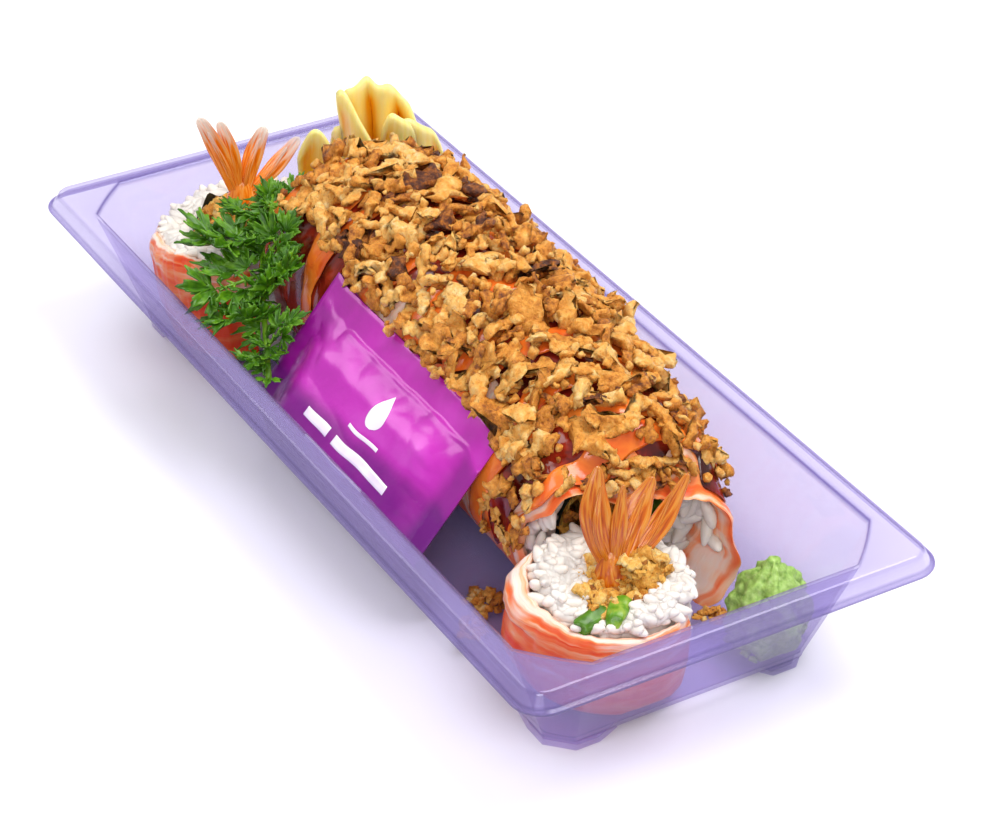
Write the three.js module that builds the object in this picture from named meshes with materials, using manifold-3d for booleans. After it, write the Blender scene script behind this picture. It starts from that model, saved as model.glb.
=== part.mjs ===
// A clear takeaway tray with a sushi roll topped with fried onions, its two end pieces stood on end
// with the prawn tails up, a sauce sachet, pickled ginger, wasabi and a sprig of parsley.
// Millimetres, +Z up. X runs along the tray, Y across it; the origin is on the table under its middle.
import * as THREE from "three";
import { mergeVertices } from "three/addons/utils/BufferGeometryUtils.js";
import Module from "manifold-3d";

const wasm = await Module();
wasm.setup();

// ---------------------------------------------------------------- driving dimensions
const clearance = 0.3; // air between two pieces that touch

const tray = {
  height: 31.9, wall: 0.6, footDrop: 2.2,
  mouth: { a: 103.4, b: 42, corner: 10.7 }, // half length, half width, cut corner
  base: { a: 93.65, b: 32.25, corner: 4.9 },
  flange: { a: 107.9, b: 47, corner: 4.6 },
  skirt: { drop: 3.2, flare: 1.3, lip: 0.9 },
  foot: { run: 5.7, slope: 4, inset: 0.3, depth: 6.5 },
};
const floorTop = tray.footDrop + tray.wall + clearance;

const roll = {
  from: -58, to: 58, skew: 0.2, skewFrom: 20, // the front cut is turned a little, its right side forward
  // x, y and radius where the roll bends or tapers; between them it runs straight
  knots: [[-58, 8.5, 21.2], [-40, 8.4, 22], [20, 6.4, 22], [58, 3.5, 19.2]],
  fillingRadius: 11.6, nori: 0.5, surimi: 2.2,
};

const frontPiece = {
  foot: [74.6, -7.8], top: [77.4, -9.6], height: 22.6, lean: [-0.09, 0.05],
  rice: 16.3, footScale: 0.92, filling: 8.2, nori: 0.5, surimi: 3.1, skirt: 2.6,
  wrapFrom: -151, wrapTo: 27,
};
const backPiece = {
  foot: [-75.2, -12], top: [-77.2, -13.6], height: 27, lean: [0.09, 0.14],
  rice: 17.4, footScale: 0.88, filling: 9.4, nori: 0.6, surimi: 2.7, skirt: 0.4,
  wrapFrom: -128, wrapTo: -20,
};

const sachet = {
  length: 70, width: 47, thick: 8.5, film: 0.7, seal: 6,
  topEdge: [-27.2, -14.4, 41.2], slide: [0, -0.64, -0.768], straight: 34, bend: 36,
};

const onions = {
  from: -62, to: 67, right: 15, left: 161, besideSachet: 141, besideParsley: 136,
  blanket: 4.2, shards: 35, length: [8, 15],
};
const wasabi = { at: [86, 24.3], radius: 8.3, height: 21, flutes: 6 };
const ginger = {
  at: [-80, 27],
  slices: [ // along the heap, back, turn, width, height and waves
    [0, 2.5, 0, 17.5, 50.2, 2.2], [-4.6, -2.6, -0.35, 10, 46, 1], [4, -1.6, 0.25, 9.5, 45.5, 1.1],
    [9, 1, 0.6, 10, 36.5, 1.2], [-8.5, 3.4, -0.5, 7, 37, 0.8],
  ],
};

// ---------------------------------------------------------------- small tools
const { PI, sin, cos, abs, min, max, sqrt } = Math;
const vec = (x, y, z) => new THREE.Vector3(x, y, z);
const rad = THREE.MathUtils.degToRad;
const mix = THREE.MathUtils.lerp;
const smooth = (x, a, b) => THREE.MathUtils.smoothstep(x, a, b);
const ringAngles = (n) => Array.from({ length: n }, (_, i) => (2 * PI * i) / n);
const stops = (from, to, n) => Array.from({ length: n + 1 }, (_, i) => mix(from, to, i / n));

// A repeatable stream of numbers between 0 and 1.
function seeded(seed) {
  let state = seed;
  return () => {
    state = (state * 1664525 + 1013904223) % 4294967296;
    return state / 4294967296;
  };
}

// A gentle bumpy field without randomness, about -1 to 1.
const ripple = (x, y, z) => (
  sin(x * 1.3 + 2.1 * sin(y * 0.7)) + sin(y * 1.7 + 1.3 * sin(z * 0.9)) + sin(z * 1.1 + 2.6 * sin(x * 0.5))
) / 3;

function signedVolume(points, faces) {
  let sum = 0;
  for (const [i, j, k] of faces) sum += points[i].dot(points[j].clone().cross(points[k]));
  return sum / 6;
}

// Points and triangles as a closed solid that faces outwards.
function solidFrom(points, faces) {
  const outward = signedVolume(points, faces) < 0 ? faces.map(([i, j, k]) => [i, k, j]) : faces;
  const geometry = new THREE.BufferGeometry().setFromPoints(points);
  geometry.setIndex(outward.flat());
  return solidOf(geometry);
}

function solidOf(geometry) {
  const bare = geometry.clone();
  bare.deleteAttribute("normal");
  bare.deleteAttribute("uv");
  const merged = mergeVertices(bare, 1e-4);
  return new wasm.Manifold(new wasm.Mesh({
    numProp: 3,
    vertProperties: merged.attributes.position.array,
    triVerts: new Uint32Array(merged.index.array),
  }));
}

// Rings of equal count joined one to the next. A ring loop closes on itself, an open one has end caps:
// a fan from the middle, or for the section of a bent sheet a strip between its two sides.
function loft(rings, closed = false, stripCaps = false) {
  const n = rings[0].length, points = rings.flat(), faces = [];
  const last = closed ? rings.length : rings.length - 1;
  for (let r = 0; r < last; r++)
    for (let i = 0; i < n; i++) {
      const a = r * n + i, b = r * n + ((i + 1) % n);
      const up = ((r + 1) % rings.length) * n;
      const c = up + i, d = up + ((i + 1) % n);
      faces.push([a, b, d], [a, d, c]);
    }
  if (!closed && stripCaps)
    for (const [first, turn] of [[0, true], [(rings.length - 1) * n, false]])
      for (let i = 0; i < n / 2 - 1; i++) {
        const a = first + i, b = a + 1, d = first + n - 1 - i, c = d - 1;
        faces.push(...(turn ? [[a, c, b], [a, d, c]] : [[a, b, c], [a, c, d]]));
      }
  if (!closed && !stripCaps)
    for (const [first, turn] of [[0, true], [(rings.length - 1) * n, false]]) {
      const middle = rings[first / n].reduce((s, p) => s.add(p), vec(0, 0, 0)).divideScalar(n);
      points.push(middle);
      for (let i = 0; i < n; i++) {
        const a = first + i, b = first + ((i + 1) % n);
        faces.push(turn ? [points.length - 1, b, a] : [points.length - 1, a, b]);
      }
    }
  return solidFrom(points, faces);
}

// A thin sheet: two faces split alike, half the thickness to each side of at(u, v), and its rim.
function sheet(at, across, along, thickness) {
  const points = [], faces = [], step = 1e-3, columns = across + 1;
  for (const side of [1, -1])
    for (let j = 0; j <= along; j++)
      for (let i = 0; i < columns; i++) {
        const u = i / across, v = j / along, p = at(u, v);
        const du = at(u + step, v).sub(at(u - step, v)), dv = at(u, v + step).sub(at(u, v - step));
        const normal = du.cross(dv).normalize();
        points.push(p.addScaledVector(normal, (side * thickness(u, v)) / 2));
      }
  const back = columns * (along + 1);
  const index = (i, j) => j * columns + i;
  for (let j = 0; j < along; j++)
    for (let i = 0; i < across; i++) {
      const a = index(i, j), b = index(i + 1, j), c = index(i + 1, j + 1), d = index(i, j + 1);
      faces.push([a, b, c], [a, c, d], [back + a, back + c, back + b], [back + a, back + d, back + c]);
    }
  const rim = (a, b) => faces.push([a, back + b, b], [a, back + a, back + b]);
  for (let i = 0; i < across; i++) {
    rim(index(i, 0), index(i + 1, 0));
    rim(index(i + 1, along), index(i, along));
  }
  for (let j = 0; j < along; j++) {
    rim(index(across, j), index(across, j + 1));
    rim(index(0, j + 1), index(0, j));
  }
  return solidFrom(points, faces);
}

// A rounded bar along points, with a radius (or [wide, thick]) at each, in sides flats.
function bar(path, sizes, sides, flatAlong = null) {
  const rings = path.map((p, k) => {
    const ahead = path[min(k + 1, path.length - 1)].clone().sub(path[max(k - 1, 0)]).normalize();
    const guide = flatAlong ?? (abs(ahead.z) < 0.9 ? vec(0, 0, 1) : vec(1, 0, 0));
    const wideWay = guide.clone().cross(ahead).normalize(), thinWay = ahead.clone().cross(wideWay);
    const [wide, thin] = Array.isArray(sizes[k]) ? sizes[k] : [sizes[k], sizes[k]];
    return Array.from({ length: sides }, (_, i) => {
      const t = (2 * PI * i) / sides;
      return p.clone().addScaledVector(wideWay, wide * cos(t)).addScaledVector(thinWay, thin * sin(t));
    });
  });
  return loft(rings);
}

// A lump with a few faces: a ball stretched along three turned axes.
function lump(centre, size, turn, flats = [5, 3]) {
  const ball = new THREE.SphereGeometry(1, ...flats);
  ball.applyMatrix4(new THREE.Matrix4().compose(
    vec(...centre), new THREE.Quaternion().setFromEuler(new THREE.Euler(...turn)), vec(...size),
  ));
  return solidOf(ball);
}

const joined = (solids) => wasm.Manifold.union(solids);

// Only the largest body: scraps that a cut leaves loose are dropped.
function largest(solid) {
  const bodies = solid.decompose();
  return bodies.reduce((best, body) => (body.volume() > best.volume() ? body : best));
}

function meshOf(name, solid, colour, roughness, extra = {}) {
  const { vertProperties, triVerts, numProp } = solid.getMesh();
  const geometry = new THREE.BufferGeometry();
  const places = new Float32Array((vertProperties.length / numProp) * 3);
  for (let i = 0; i < places.length / 3; i++)
    places.set(vertProperties.subarray(i * numProp, i * numProp + 3), i * 3);
  geometry.setAttribute("position", new THREE.BufferAttribute(places, 3));
  geometry.setIndex(new THREE.BufferAttribute(triVerts, 1));
  geometry.computeVertexNormals();
  const material = new THREE.MeshStandardMaterial({ color: colour, roughness, metalness: 0, ...extra });
  const mesh = new THREE.Mesh(geometry, material);
  mesh.name = name;
  return mesh;
}

// ---------------------------------------------------------------- tray
// A ring round the tray: corners cut straight (round 0) or as arcs (round 1).
function trayRing({ a, b, corner }, z, round, grow = 0) {
  const steps = 3, points = [];
  [[1, 1], [-1, 1], [-1, -1], [1, -1]].forEach(([sx, sy], quarter) => {
    const cx = sx * (a - corner), cy = sy * (b - corner), size = corner + grow;
    const start = (quarter * PI) / 2, end = start + PI / 2;
    for (let i = 0; i <= steps; i++) {
      const t = i / steps, turn = mix(start, end, t);
      const x = mix(mix(cos(start), cos(end), t), cos(turn), round);
      const y = mix(mix(sin(start), sin(end), t), sin(turn), round);
      points.push(vec(cx + size * x, cy + size * y, z));
    }
  });
  return points;
}

function trayShell() {
  const { height, wall, footDrop, mouth, base, flange, skirt } = tray;
  const cut = 0.12; // the cut corners are very slightly rounded
  const under = height - wall, skirtFoot = height - skirt.drop;
  return loft([
    trayRing(base, footDrop, cut, -1.8),
    trayRing(base, footDrop + 0.5, cut, -0.4),
    trayRing(base, footDrop + 1.8, cut, 0.1),
    trayRing(mouth, height - 2, cut, 0.05),
    trayRing(mouth, under, cut, 1.1),
    trayRing(flange, under, 1, -1.2),
    trayRing(flange, skirtFoot, 1, skirt.flare - wall),
    trayRing(flange, skirtFoot - wall, 1, skirt.flare - 0.1),
    trayRing(flange, skirtFoot - wall, 1, skirt.flare + skirt.lip),
    trayRing(flange, skirtFoot, 1, skirt.flare + skirt.lip),
    trayRing(flange, skirtFoot + 0.2, 1, skirt.flare),
    trayRing(flange, height - 0.7, 1, 0),
    trayRing(flange, height, 1, -0.7),
    trayRing(mouth, height, cut, 0.7),
    trayRing(mouth, height - 0.7, cut, -0.2),
    trayRing(mouth, height - 2.2, cut, -wall),
    trayRing(base, footDrop + 2.1, cut, 0.1 - wall),
    trayRing(base, footDrop + wall + 0.4, cut, -wall - 0.6),
    trayRing(base, footDrop + wall, cut, -1.8 - wall),
  ]);
}

// One corner foot is a shallow pocket, from bottom to top; inset moves every side inwards.
function footPocket(sx, sy, inset, bottom, top) {
  const { base, foot } = tray;
  const outline = (spread, shrink, z) => {
    const a = base.a - foot.inset - inset - shrink, b = base.b - foot.inset - inset - shrink;
    const reach = base.corner + foot.run + spread - inset, deep = foot.depth + spread - 2 * inset;
    const corners = [
      [a - reach, b], [a - base.corner, b], [a, b - base.corner], [a, b - reach],
      [a - deep, b - reach], [a - reach, b - deep],
    ];
    return corners.map(([x, y]) => vec(sx * x, sy * y, z));
  };
  return loft([outline(0, 0.35, bottom), outline(tray.foot.slope, 0, top)]);
}

function makeTray() {
  const { footDrop, wall } = tray;
  let shell = trayShell();
  for (const sx of [1, -1])
    for (const sy of [1, -1]) {
      shell = shell.add(footPocket(sx, sy, 0, 0, footDrop + 0.3));
      shell = shell.subtract(footPocket(sx, sy, wall + 0.1, wall, footDrop + wall + 0.4));
    }
  return largest(shell);
}

// The room inside the tray, which everything in it keeps to.
function trayRoom() {
  const { height, mouth, base, footDrop, wall } = tray;
  const side = -wall - clearance - 0.1;
  return loft([
    trayRing(base, footDrop + wall + clearance, 0, -2 - wall - clearance),
    trayRing(base, footDrop + wall + 1.2, 0, side - 0.4),
    trayRing(base, footDrop + 2.4, 0, side),
    trayRing(mouth, height - 1.5, 0, side),
    trayRing(mouth, height + 60, 0, side),
  ]);
}
const room = trayRoom();

// ---------------------------------------------------------------- pieces stood on end
// A point of a standing piece: r from its axis at an angle, t from foot (0) to cut face (1).
function standing(piece, r, angle, t, rise = 0) {
  const scale = mix(piece.footScale, 1, sqrt(t));
  const dx = r * scale * cos(angle), dy = r * scale * sin(angle);
  const faceTilt = piece.lean[0] * dx + piece.lean[1] * dy;
  return vec(
    mix(piece.foot[0], piece.top[0], t) + dx, mix(piece.foot[1], piece.top[1], t) + dy,
    floorTop + t * (piece.height + faceTilt) + rise,
  );
}

const ringSides = 18;

// The ring of rice round the filling, its cut face slightly uneven.
function riceRing(piece, inner) {
  const middle = (inner + piece.rice) / 2;
  return loft(ringAngles(ringSides).map((angle) => {
    const wave = 0.5 * ripple(3 * cos(angle), 3 * sin(angle), inner);
    return [
      standing(piece, inner, angle, 0), standing(piece, piece.rice, angle, 0),
      standing(piece, piece.rice, angle, 0.5), standing(piece, piece.rice - 0.2, angle, 1, wave - 0.5),
      standing(piece, middle, angle, 1, wave + 0.5), standing(piece, inner, angle, 1, wave - 0.3),
    ];
  }), true);
}

// Half sizes of a rice grain, long side first, and the turn from one grain to the next.
const grain = [3.1, 1.35, 1.25], golden = PI * (3 - sqrt(5));

// Grains half sunk in a cut face, each turned nearly along the ring it lies in.
function grainsOn(piece, inner, outer, count, seed) {
  const draw = seeded(seed), margin = 2.2;
  return Array.from({ length: count }, (_, i) => {
    const angle = i * golden, r = mix(inner + margin, outer - margin, draw());
    const spot = standing(piece, r, angle, 1, 0.6 + 0.6 * draw());
    return lump(spot.toArray(), grain, [0, 0.5 * (draw() - 0.5), angle + PI / 2 + 1.1 * (draw() - 0.5)]);
  });
}

function riceOf(piece, grains) {
  const inner = piece.filling + piece.nori + 2 * clearance;
  const loose = grainsOn(piece, inner, piece.rice, grains, grains * 7);
  return joined([riceRing(piece, inner), ...loose]).intersect(room);
}

function noriOf(piece) {
  const inner = piece.filling + clearance;
  const rings = [[inner, 0], [inner + piece.nori, 0], [inner + piece.nori, 1], [inner, 1]].map(([r, t]) =>
    ringAngles(ringSides).map((angle) => standing(piece, r, angle, t, 0.5 * t)));
  return loft(rings, true);
}

function wrapOf(piece, flare) {
  const inner = piece.rice + clearance, steps = 15, stations = [];
  for (let i = 0; i <= steps; i++) {
    const angle = rad(mix(piece.wrapFrom, piece.wrapTo, i / steps));
    const thin = 1 - 0.45 * smooth(abs(i / steps - 0.5), 0.3, 0.5);
    const out = inner + piece.surimi * thin;
    const lift = flare * sin((PI * i) / steps + 0.6) + 0.5 * ripple(i, 1, 2);
    const skirt = 0.6 + piece.skirt * sin(PI * min(1, (2 * i) / steps)) ** 2;
    stations.push([
      standing(piece, inner, angle, 0), standing(piece, out, angle, 0),
      standing(piece, out + skirt, angle, 0.4), standing(piece, out + 0.3 + 0.3 * skirt, angle, 0.75),
      standing(piece, out - 0.3, angle, 1, lift - 1.2),
      standing(piece, mix(inner, out, 0.45), angle, 1, lift),
      standing(piece, inner, angle, 1, lift - 1), standing(piece, inner, angle, 0.5),
    ]);
  }
  return loft(stations);
}

// The fried filling runs through the piece and ends in a crumbly crown round the tail.
function fillingOf(piece, crown, crumbs, seed) {
  const around = ringAngles(12), levels = [0, 0.9, 1];
  const rings = levels.map((t, k) => around.map((angle, i) => {
    const dent = 0.35 * (1 + ripple(i, k, seed));
    return standing(piece, piece.filling - dent, angle, t, t === 1 ? crown * 0.3 : 0);
  }));
  rings.push(around.map((angle, i) =>
    standing(piece, piece.filling * 0.5, angle, 1, crown * (0.8 + 0.2 * ripple(i, seed, 3)))));
  const draw = seeded(seed), bits = [];
  for (let i = 0; i < crumbs; i++) {
    const angle = (2 * PI * (i + 0.6 * draw())) / crumbs, r = piece.filling * (0.36 + 0.3 * draw());
    const spot = standing(piece, r, angle, 1, crown * (0.5 + 0.5 * draw()));
    const size = [1.4 + draw(), 1.2 + 0.6 * draw(), 1 + 0.8 * draw()];
    bits.push(lump(spot.toArray(), size, [2 * draw(), 2 * draw(), 3 * draw()]));
  }
  return joined([loft(rings), ...bits]);
}

// ---------------------------------------------------------------- prawn tails
// One blade of a tail fan: narrow at the root, widest past the middle, blunt at the tip.
function tailBlade(root, tip, width, bow, across) {
  const steps = 4, path = [], sizes = [];
  for (let i = 0; i <= steps; i++) {
    const t = i / steps;
    path.push(root.clone().lerp(tip, t).add(vec(...bow).multiplyScalar(sin(PI * t))));
    const wide = width * (0.42 + 0.58 * sin(PI * min(1, 0.12 + 0.62 * t))) * (1 - 0.45 * smooth(t, 0.8, 1));
    sizes.push([wide / 2, mix(1.15, 0.45, t)]);
  }
  return bar(path, sizes, 6, across);
}

function tailOf({ base, blades, across, neck }) {
  const root = vec(...base);
  const parts = blades.map(({ tip, width, bow }) => {
    const end = vec(...tip), start = root.clone().lerp(end, 0.08);
    return tailBlade(start, end, width, bow, vec(...across));
  });
  parts.push(tailNeck({ base, neck, across }, 0));
  return joined(parts);
}

// The last shell joint below the fan, which goes down into the fried batter.
function tailNeck({ base, neck, across }, grow) {
  const path = [-grow / 8, 0.3, 0.65, 1 + grow / 8].map((t) => vec(...base).addScaledVector(vec(...neck), t));
  const sizes = [[2.6, 2.2], [3.6, 3], [4, 3.4], [3.7, 3.2]].map((pair) => pair.map((half) => half + grow));
  return bar(path, sizes, 8, vec(...across));
}

const frontTail = {
  base: [77.6, -10.2, 32.4], neck: [1.2, -0.2, -9], across: [0.85, -0.5, 0.2],
  blades: [
    { tip: [71.6, -10.2, 50], width: 6.6, bow: [0, -2, 0] },
    { tip: [75.6, -6.8, 47], width: 3.6, bow: [1, -0.6, 0] },
    { tip: [73.4, 2, 44.6], width: 6.4, bow: [0, -0.6, 0.6] },
    { tip: [71.8, 11.6, 41.4], width: 5, bow: [0, 0.6, -2.2] },
  ],
};
const backTail = {
  base: [-79.2, -11.4, 38.4], neck: [0.3, -0.4, -9.6], across: [0.85, -0.5, 0.15],
  blades: [
    { tip: [-79, -22, 58.2], width: 5.4, bow: [0, 0.8, 0.6] },
    { tip: [-79.6, -17, 55.4], width: 5, bow: [0.6, 1, 0] },
    { tip: [-79, -5, 51.6], width: 5.6, bow: [0, -1.2, 0.4] },
    { tip: [-78.6, 3.6, 46.8], width: 5, bow: [0, -0.6, -1.4] },
  ],
};

// ---------------------------------------------------------------- long roll
// Column 1 of the knots is the middle's y, column 2 the radius.
function alongKnots(x, column) {
  const next = max(1, roll.knots.findIndex((knot) => knot[0] >= min(x, roll.to)));
  const a = roll.knots[next - 1], b = roll.knots[next];
  return mix(a[column], b[column], (x - a[0]) / (b[0] - a[0]));
}
const rollRadius = (x) => alongKnots(x, 2);

// A point round the roll: angle 0 is +Y, 90 degrees is up. The rice spreads to the floor underneath.
function round(x, radius, angle) {
  const z = floorTop - clearance + rollRadius(x) + roll.surimi, below = max(0, -sin(angle)) ** 8;
  const reach = radius + below * roll.surimi, across = reach * cos(angle), height = z + reach * sin(angle);
  const tapered = max(0, (x - roll.skewFrom) / (roll.to - roll.skewFrom));
  return vec(x + roll.skew * across * tapered, alongKnots(x, 1) + across, max(height, floorTop));
}

function tubeAlong(outer, inner, n, overhang = 0) {
  const last = roll.knots.length - 1;
  const along = roll.knots.map(([x], i) => x + (i === 0 ? -overhang : i === last ? overhang : 0));
  const ring = (x, radius) => ringAngles(n).map((angle) => round(x, radius(x), angle));
  return loft([...along.map((x) => ring(x, outer)), ...along.reverse().map((x) => ring(x, inner))], true);
}

function rollRice() {
  const inner = roll.fillingRadius + roll.nori + 2 * clearance;
  const draw = seeded(41);
  const parts = [tubeAlong((x) => rollRadius(x) - clearance, () => inner, 22)];
  for (const [x, count] of [[roll.to, 13], [roll.from, 6]])
    for (let i = 0; i < count; i++) {
      const angle = i * golden, spot = round(x, mix(inner + 2.2, rollRadius(x) - 2.4, draw()), angle);
      spot.z = max(spot.z, floorTop + 3);
      const turn = [angle + PI / 2 + 1.1 * (draw() - 0.5), 0, 0.5 * (draw() - 0.5)];
      parts.push(lump(spot.toArray(), [grain[2], grain[0], grain[1]], turn));
    }
  return joined(parts);
}

const rollNori = () => tubeAlong(
  () => roll.fillingRadius + roll.nori + clearance, () => roll.fillingRadius + clearance, 22, 0.2,
);

// The green strip lies in the filling's right side; the fried prawn fills the rest.
const stripAngles = [-50, 20];
function fillingPart(from, to, fromDegrees, toDegrees, inner, sides, seed) {
  const rings = [from, -40, -10, roll.skewFrom, to].map((x, k) => {
    const arc = stops(rad(fromDegrees), rad(toDegrees), sides).map((angle, i) =>
      round(x, roll.fillingRadius - 0.3 * (1 + ripple(i, k, seed)), angle));
    return [...arc, round(x, inner, rad((fromDegrees + toDegrees) / 2))];
  });
  return loft(rings);
}

function rollFilling() {
  const gapAngle = 3;
  const body = fillingPart(roll.from - 0.4, roll.to + 0.4, stripAngles[1] + gapAngle,
    stripAngles[0] - gapAngle + 360, 1.2, 13, 5);
  const draw = seeded(9), bits = [];
  for (let i = 0; i < 7; i++) {
    const spot = round(roll.to + 0.5, roll.fillingRadius * (0.35 + 0.35 * draw()), rad(62 + 34 * i));
    bits.push(lump(spot.toArray(), [1.2 + draw(), 1.4 + draw(), 1.2 + draw()], [draw(), draw(), 3 * draw()]));
  }
  return joined([body, ...bits]);
}

const rollGreen = () => fillingPart(roll.from - 0.4, roll.to + 0.9, stripAngles[0], stripAngles[1], 3, 5, 11);

// Crab stick laid over the roll. Towards the front it runs on past the rice as a loose overhang,
// which sags at its upper right and flares out low on its right side.
const drape = { from: -55, to: 228, steps: 21, front: 68, rightFront: 67.5, leftFront: 60 };

function drapePoint(x, degrees, offset) {
  const inside = min(x, roll.to), loose = smooth(x, roll.to + 0.5, drape.front);
  const sag = smooth(degrees, -10, 60) * (1 - smooth(degrees, 112, 138));
  const flare = smooth(-degrees, 8, 36), lift = smooth(degrees, 125, 145) * (1 - smooth(degrees, 165, 190));
  const radius = rollRadius(inside) + clearance + offset + loose * (6.2 * flare + 1.2 * lift - 10 * sag);
  const p = round(inside, radius, rad(degrees));
  p.x += x - inside;
  p.z = max(p.z, floorTop + (offset > 0.1 ? 0 : 1.4));
  return p;
}

function drapeFront(degrees) {
  const right = mix(drape.rightFront, drape.front, smooth(degrees, 20, 80));
  return mix(right, drape.leftFront, smooth(degrees, 142, 175));
}

// Stations along the sheet: straight over the roll, then shared out between its end and the sheet's edge.
const overhangSteps = [0.35, 0.7, 1];
const sheetStations = [
  ...roll.knots.map(([x]) => () => x),
  ...overhangSteps.map((t) => (degrees) => mix(roll.to, drapeFront(degrees), t)),
];
const sheetDegrees = stops(drape.from, drape.to, drape.steps);

function rollSurimi() {
  return loft(sheetStations.map((station) => {
    const outside = sheetDegrees.map((degrees) => {
      const x = station(degrees);
      return drapePoint(x, degrees, roll.surimi + 0.25 * ripple(degrees / 9, x / 14, 2));
    });
    return [...outside, ...sheetDegrees.map((degrees) => drapePoint(station(degrees), degrees, 0)).reverse()];
  }), false, true);
}

// ---------------------------------------------------------------- fried onions
// A curled shard: a bent bar with a bumpy width.
function shard(centre, outward, length, width, draw) {
  const steps = 3, heading = 2 * PI * draw(), bend = (draw() - 0.3) * 1.6;
  const side = vec(1, 0, 0).cross(outward).normalize(), ahead = vec(1, 0, 0);
  const path = [], sizes = [];
  for (let i = 0; i <= steps; i++) {
    const t = i / steps - 0.5, turn = heading + bend * t;
    const lift = 0.9 - 2.4 * t * t + (draw() - 0.5) * 0.9;
    path.push(centre.clone()
      .addScaledVector(ahead, length * t * cos(turn)).addScaledVector(side, length * t * sin(turn))
      .addScaledVector(outward, lift));
    const fat = width * (0.75 + 0.5 * draw()) * (1 - 1.6 * t * t);
    sizes.push([fat / 2, fat / 2.9]);
  }
  return bar(path, sizes, 4, outward);
}

// How high the onions lie over the surimi, and how far down its left side they reach.
const blanketDepth = (x, degrees) =>
  onions.blanket * (0.55 + 0.45 * smooth(-abs(x), -62, -30)) * (0.5 + 0.5 * max(0, sin(rad(degrees)))) + 0.4;
const onionLeft = (x) =>
  mix(mix(onions.besideParsley, onions.besideSachet, smooth(x, -38, -26)), onions.left, smooth(x, 46, 56));

function onionHeap(keepOut) {
  const start = roll.surimi + clearance, ends = [onions.from + 4.5, onions.to - 3];
  const stations = [...stops(ends[0], -40, 2), ...stops(-28, 20, 4), 33, 46].map((x) => () => x)
    .concat(sheetStations.slice(3, 6));
  const degreesOver = sheetDegrees.filter((degrees) => degrees >= onions.right && degrees <= onions.left);
  const flank = 120; // beyond this the left edge is drawn in beside the sachet and the parsley
  const rings = stations.map((station) => {
    const spots = degreesOver.map((degrees) => {
      const x = station(degrees), reach = (onionLeft(x) - flank) / (onions.left - flank);
      return [x, degrees < flank ? degrees : flank + (degrees - flank) * reach];
    });
    return [
      ...spots.map(([x, d]) => drapePoint(x, d, start + 0.7)),
      ...spots.reverse().map(([x, d]) =>
        drapePoint(x, d, start + 0.9 + blanketDepth(x, d) * (1 + 0.5 * ripple(x / 4, d / 14, 3)))),
    ];
  });
  const draw = seeded(77), heap = [loft(rings, false, true)];
  const clear = (solid) => keepOut.every((other) => solid.intersect(other).isEmpty());
  for (let i = 0; i < onions.shards; i++) {
    const x = mix(...ends, (i + 0.5) / onions.shards) + 3 * (draw() - 0.5);
    const degrees = mix(onions.right - 4, onionLeft(x) + 2, (i * 0.618) % 1) + 8 * (draw() - 0.5);
    const base = drapePoint(x, degrees, start);
    const outward = drapePoint(x, degrees, start + 4).sub(base).normalize();
    const depth = blanketDepth(x, degrees) - 0.3 + 1.2 * draw();
    const length = mix(...onions.length, draw() ** 1.5);
    const piece = shard(base.addScaledVector(outward, depth), outward, length, 3 + 1.6 * draw(), draw);
    if (clear(piece)) heap.push(piece);
  }
  return largest(joined(heap));
}

// Loose bits that fell beside the roll.
const fallen = [
  { at: [47.5, -20.5, 2.6], size: [4.8, 3, 2.4], turn: [0, 0, 0.6] },
  { at: [53.5, -27, 2.2], size: [4, 2.7, 2], turn: [0.1, 0, 2.2] },
  { at: [74.4, 18.2, 2], size: [3.6, 2, 1.7], turn: [0, 0.1, 0.9] },
];

function fallenOnion({ at, size, turn }, seed) {
  const draw = seeded(seed), [x, y, half] = at, parts = [];
  parts.push(lump([x, y, floorTop + half], size, turn, [6, 4]));
  for (let i = 0; i < 3; i++) {
    const angle = i * 2.1 + draw(), r = size[0] * 0.5;
    const spot = [x + r * cos(angle + turn[2]), y + size[1] * 0.6 * sin(angle), floorTop + half + 0.6];
    parts.push(lump(spot, [1.7, 1.3, 1.1 + 0.4 * draw()], [draw(), draw(), 3 * draw()]));
  }
  return joined(parts).intersect(room);
}

// ---------------------------------------------------------------- sauce sachet
// The middle surface: straight from its top edge down to the wall, then bent to follow it.
function sachetPlace(along, down) {
  const [dy, dz] = [sachet.slide[1], sachet.slide[2]], [x, y, z] = sachet.topEdge;
  const flat = min(down, sachet.straight), rest = max(0, down - sachet.straight);
  const turn = rad(sachet.bend) * smooth(rest, 0, 6);
  const wallSlope = -0.35; // how fast the tray's wall comes in as it goes down
  const by = dy * cos(turn) + dz * sin(turn), bz = dz * cos(turn) + dy * sin(turn);
  return vec(x + along, y + dy * flat + max(by, wallSlope) * rest, z + dz * flat + bz * rest);
}

function makeSachet(grow = 0) {
  const across = 13, down = 9, { length, width, seal } = sachet;
  const fill = (u, v) => {
    const a = smooth(min(u, 1 - u) * length, seal * 0.5, seal + 9);
    const b = smooth(v * width, seal + 1, seal + 12) * smooth((1 - v) * width, seal * 0.4, seal + 9);
    return sachet.film + 2 * grow + (sachet.thick - sachet.film) * a ** 0.8 * b ** 0.8;
  };
  const at = (u, v) => {
    const end = smooth(u, 1 - 7 / length, 1) - 0.5 * smooth(1 - u, 1 - 6 / length, 1);
    const p = sachetPlace(mix(-grow, length + grow, u), mix(-grow, width + grow, v));
    const wrinkle = 0.45 * ripple(u * 17, v * 11, 1) * (1 - abs(2 * v - 1) ** 4);
    p.y += -1.1 * end + wrinkle * 0.6;
    p.z += -2.4 * end + wrinkle;
    return p;
  };
  return sheet(at, across, down, fill);
}

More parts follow.
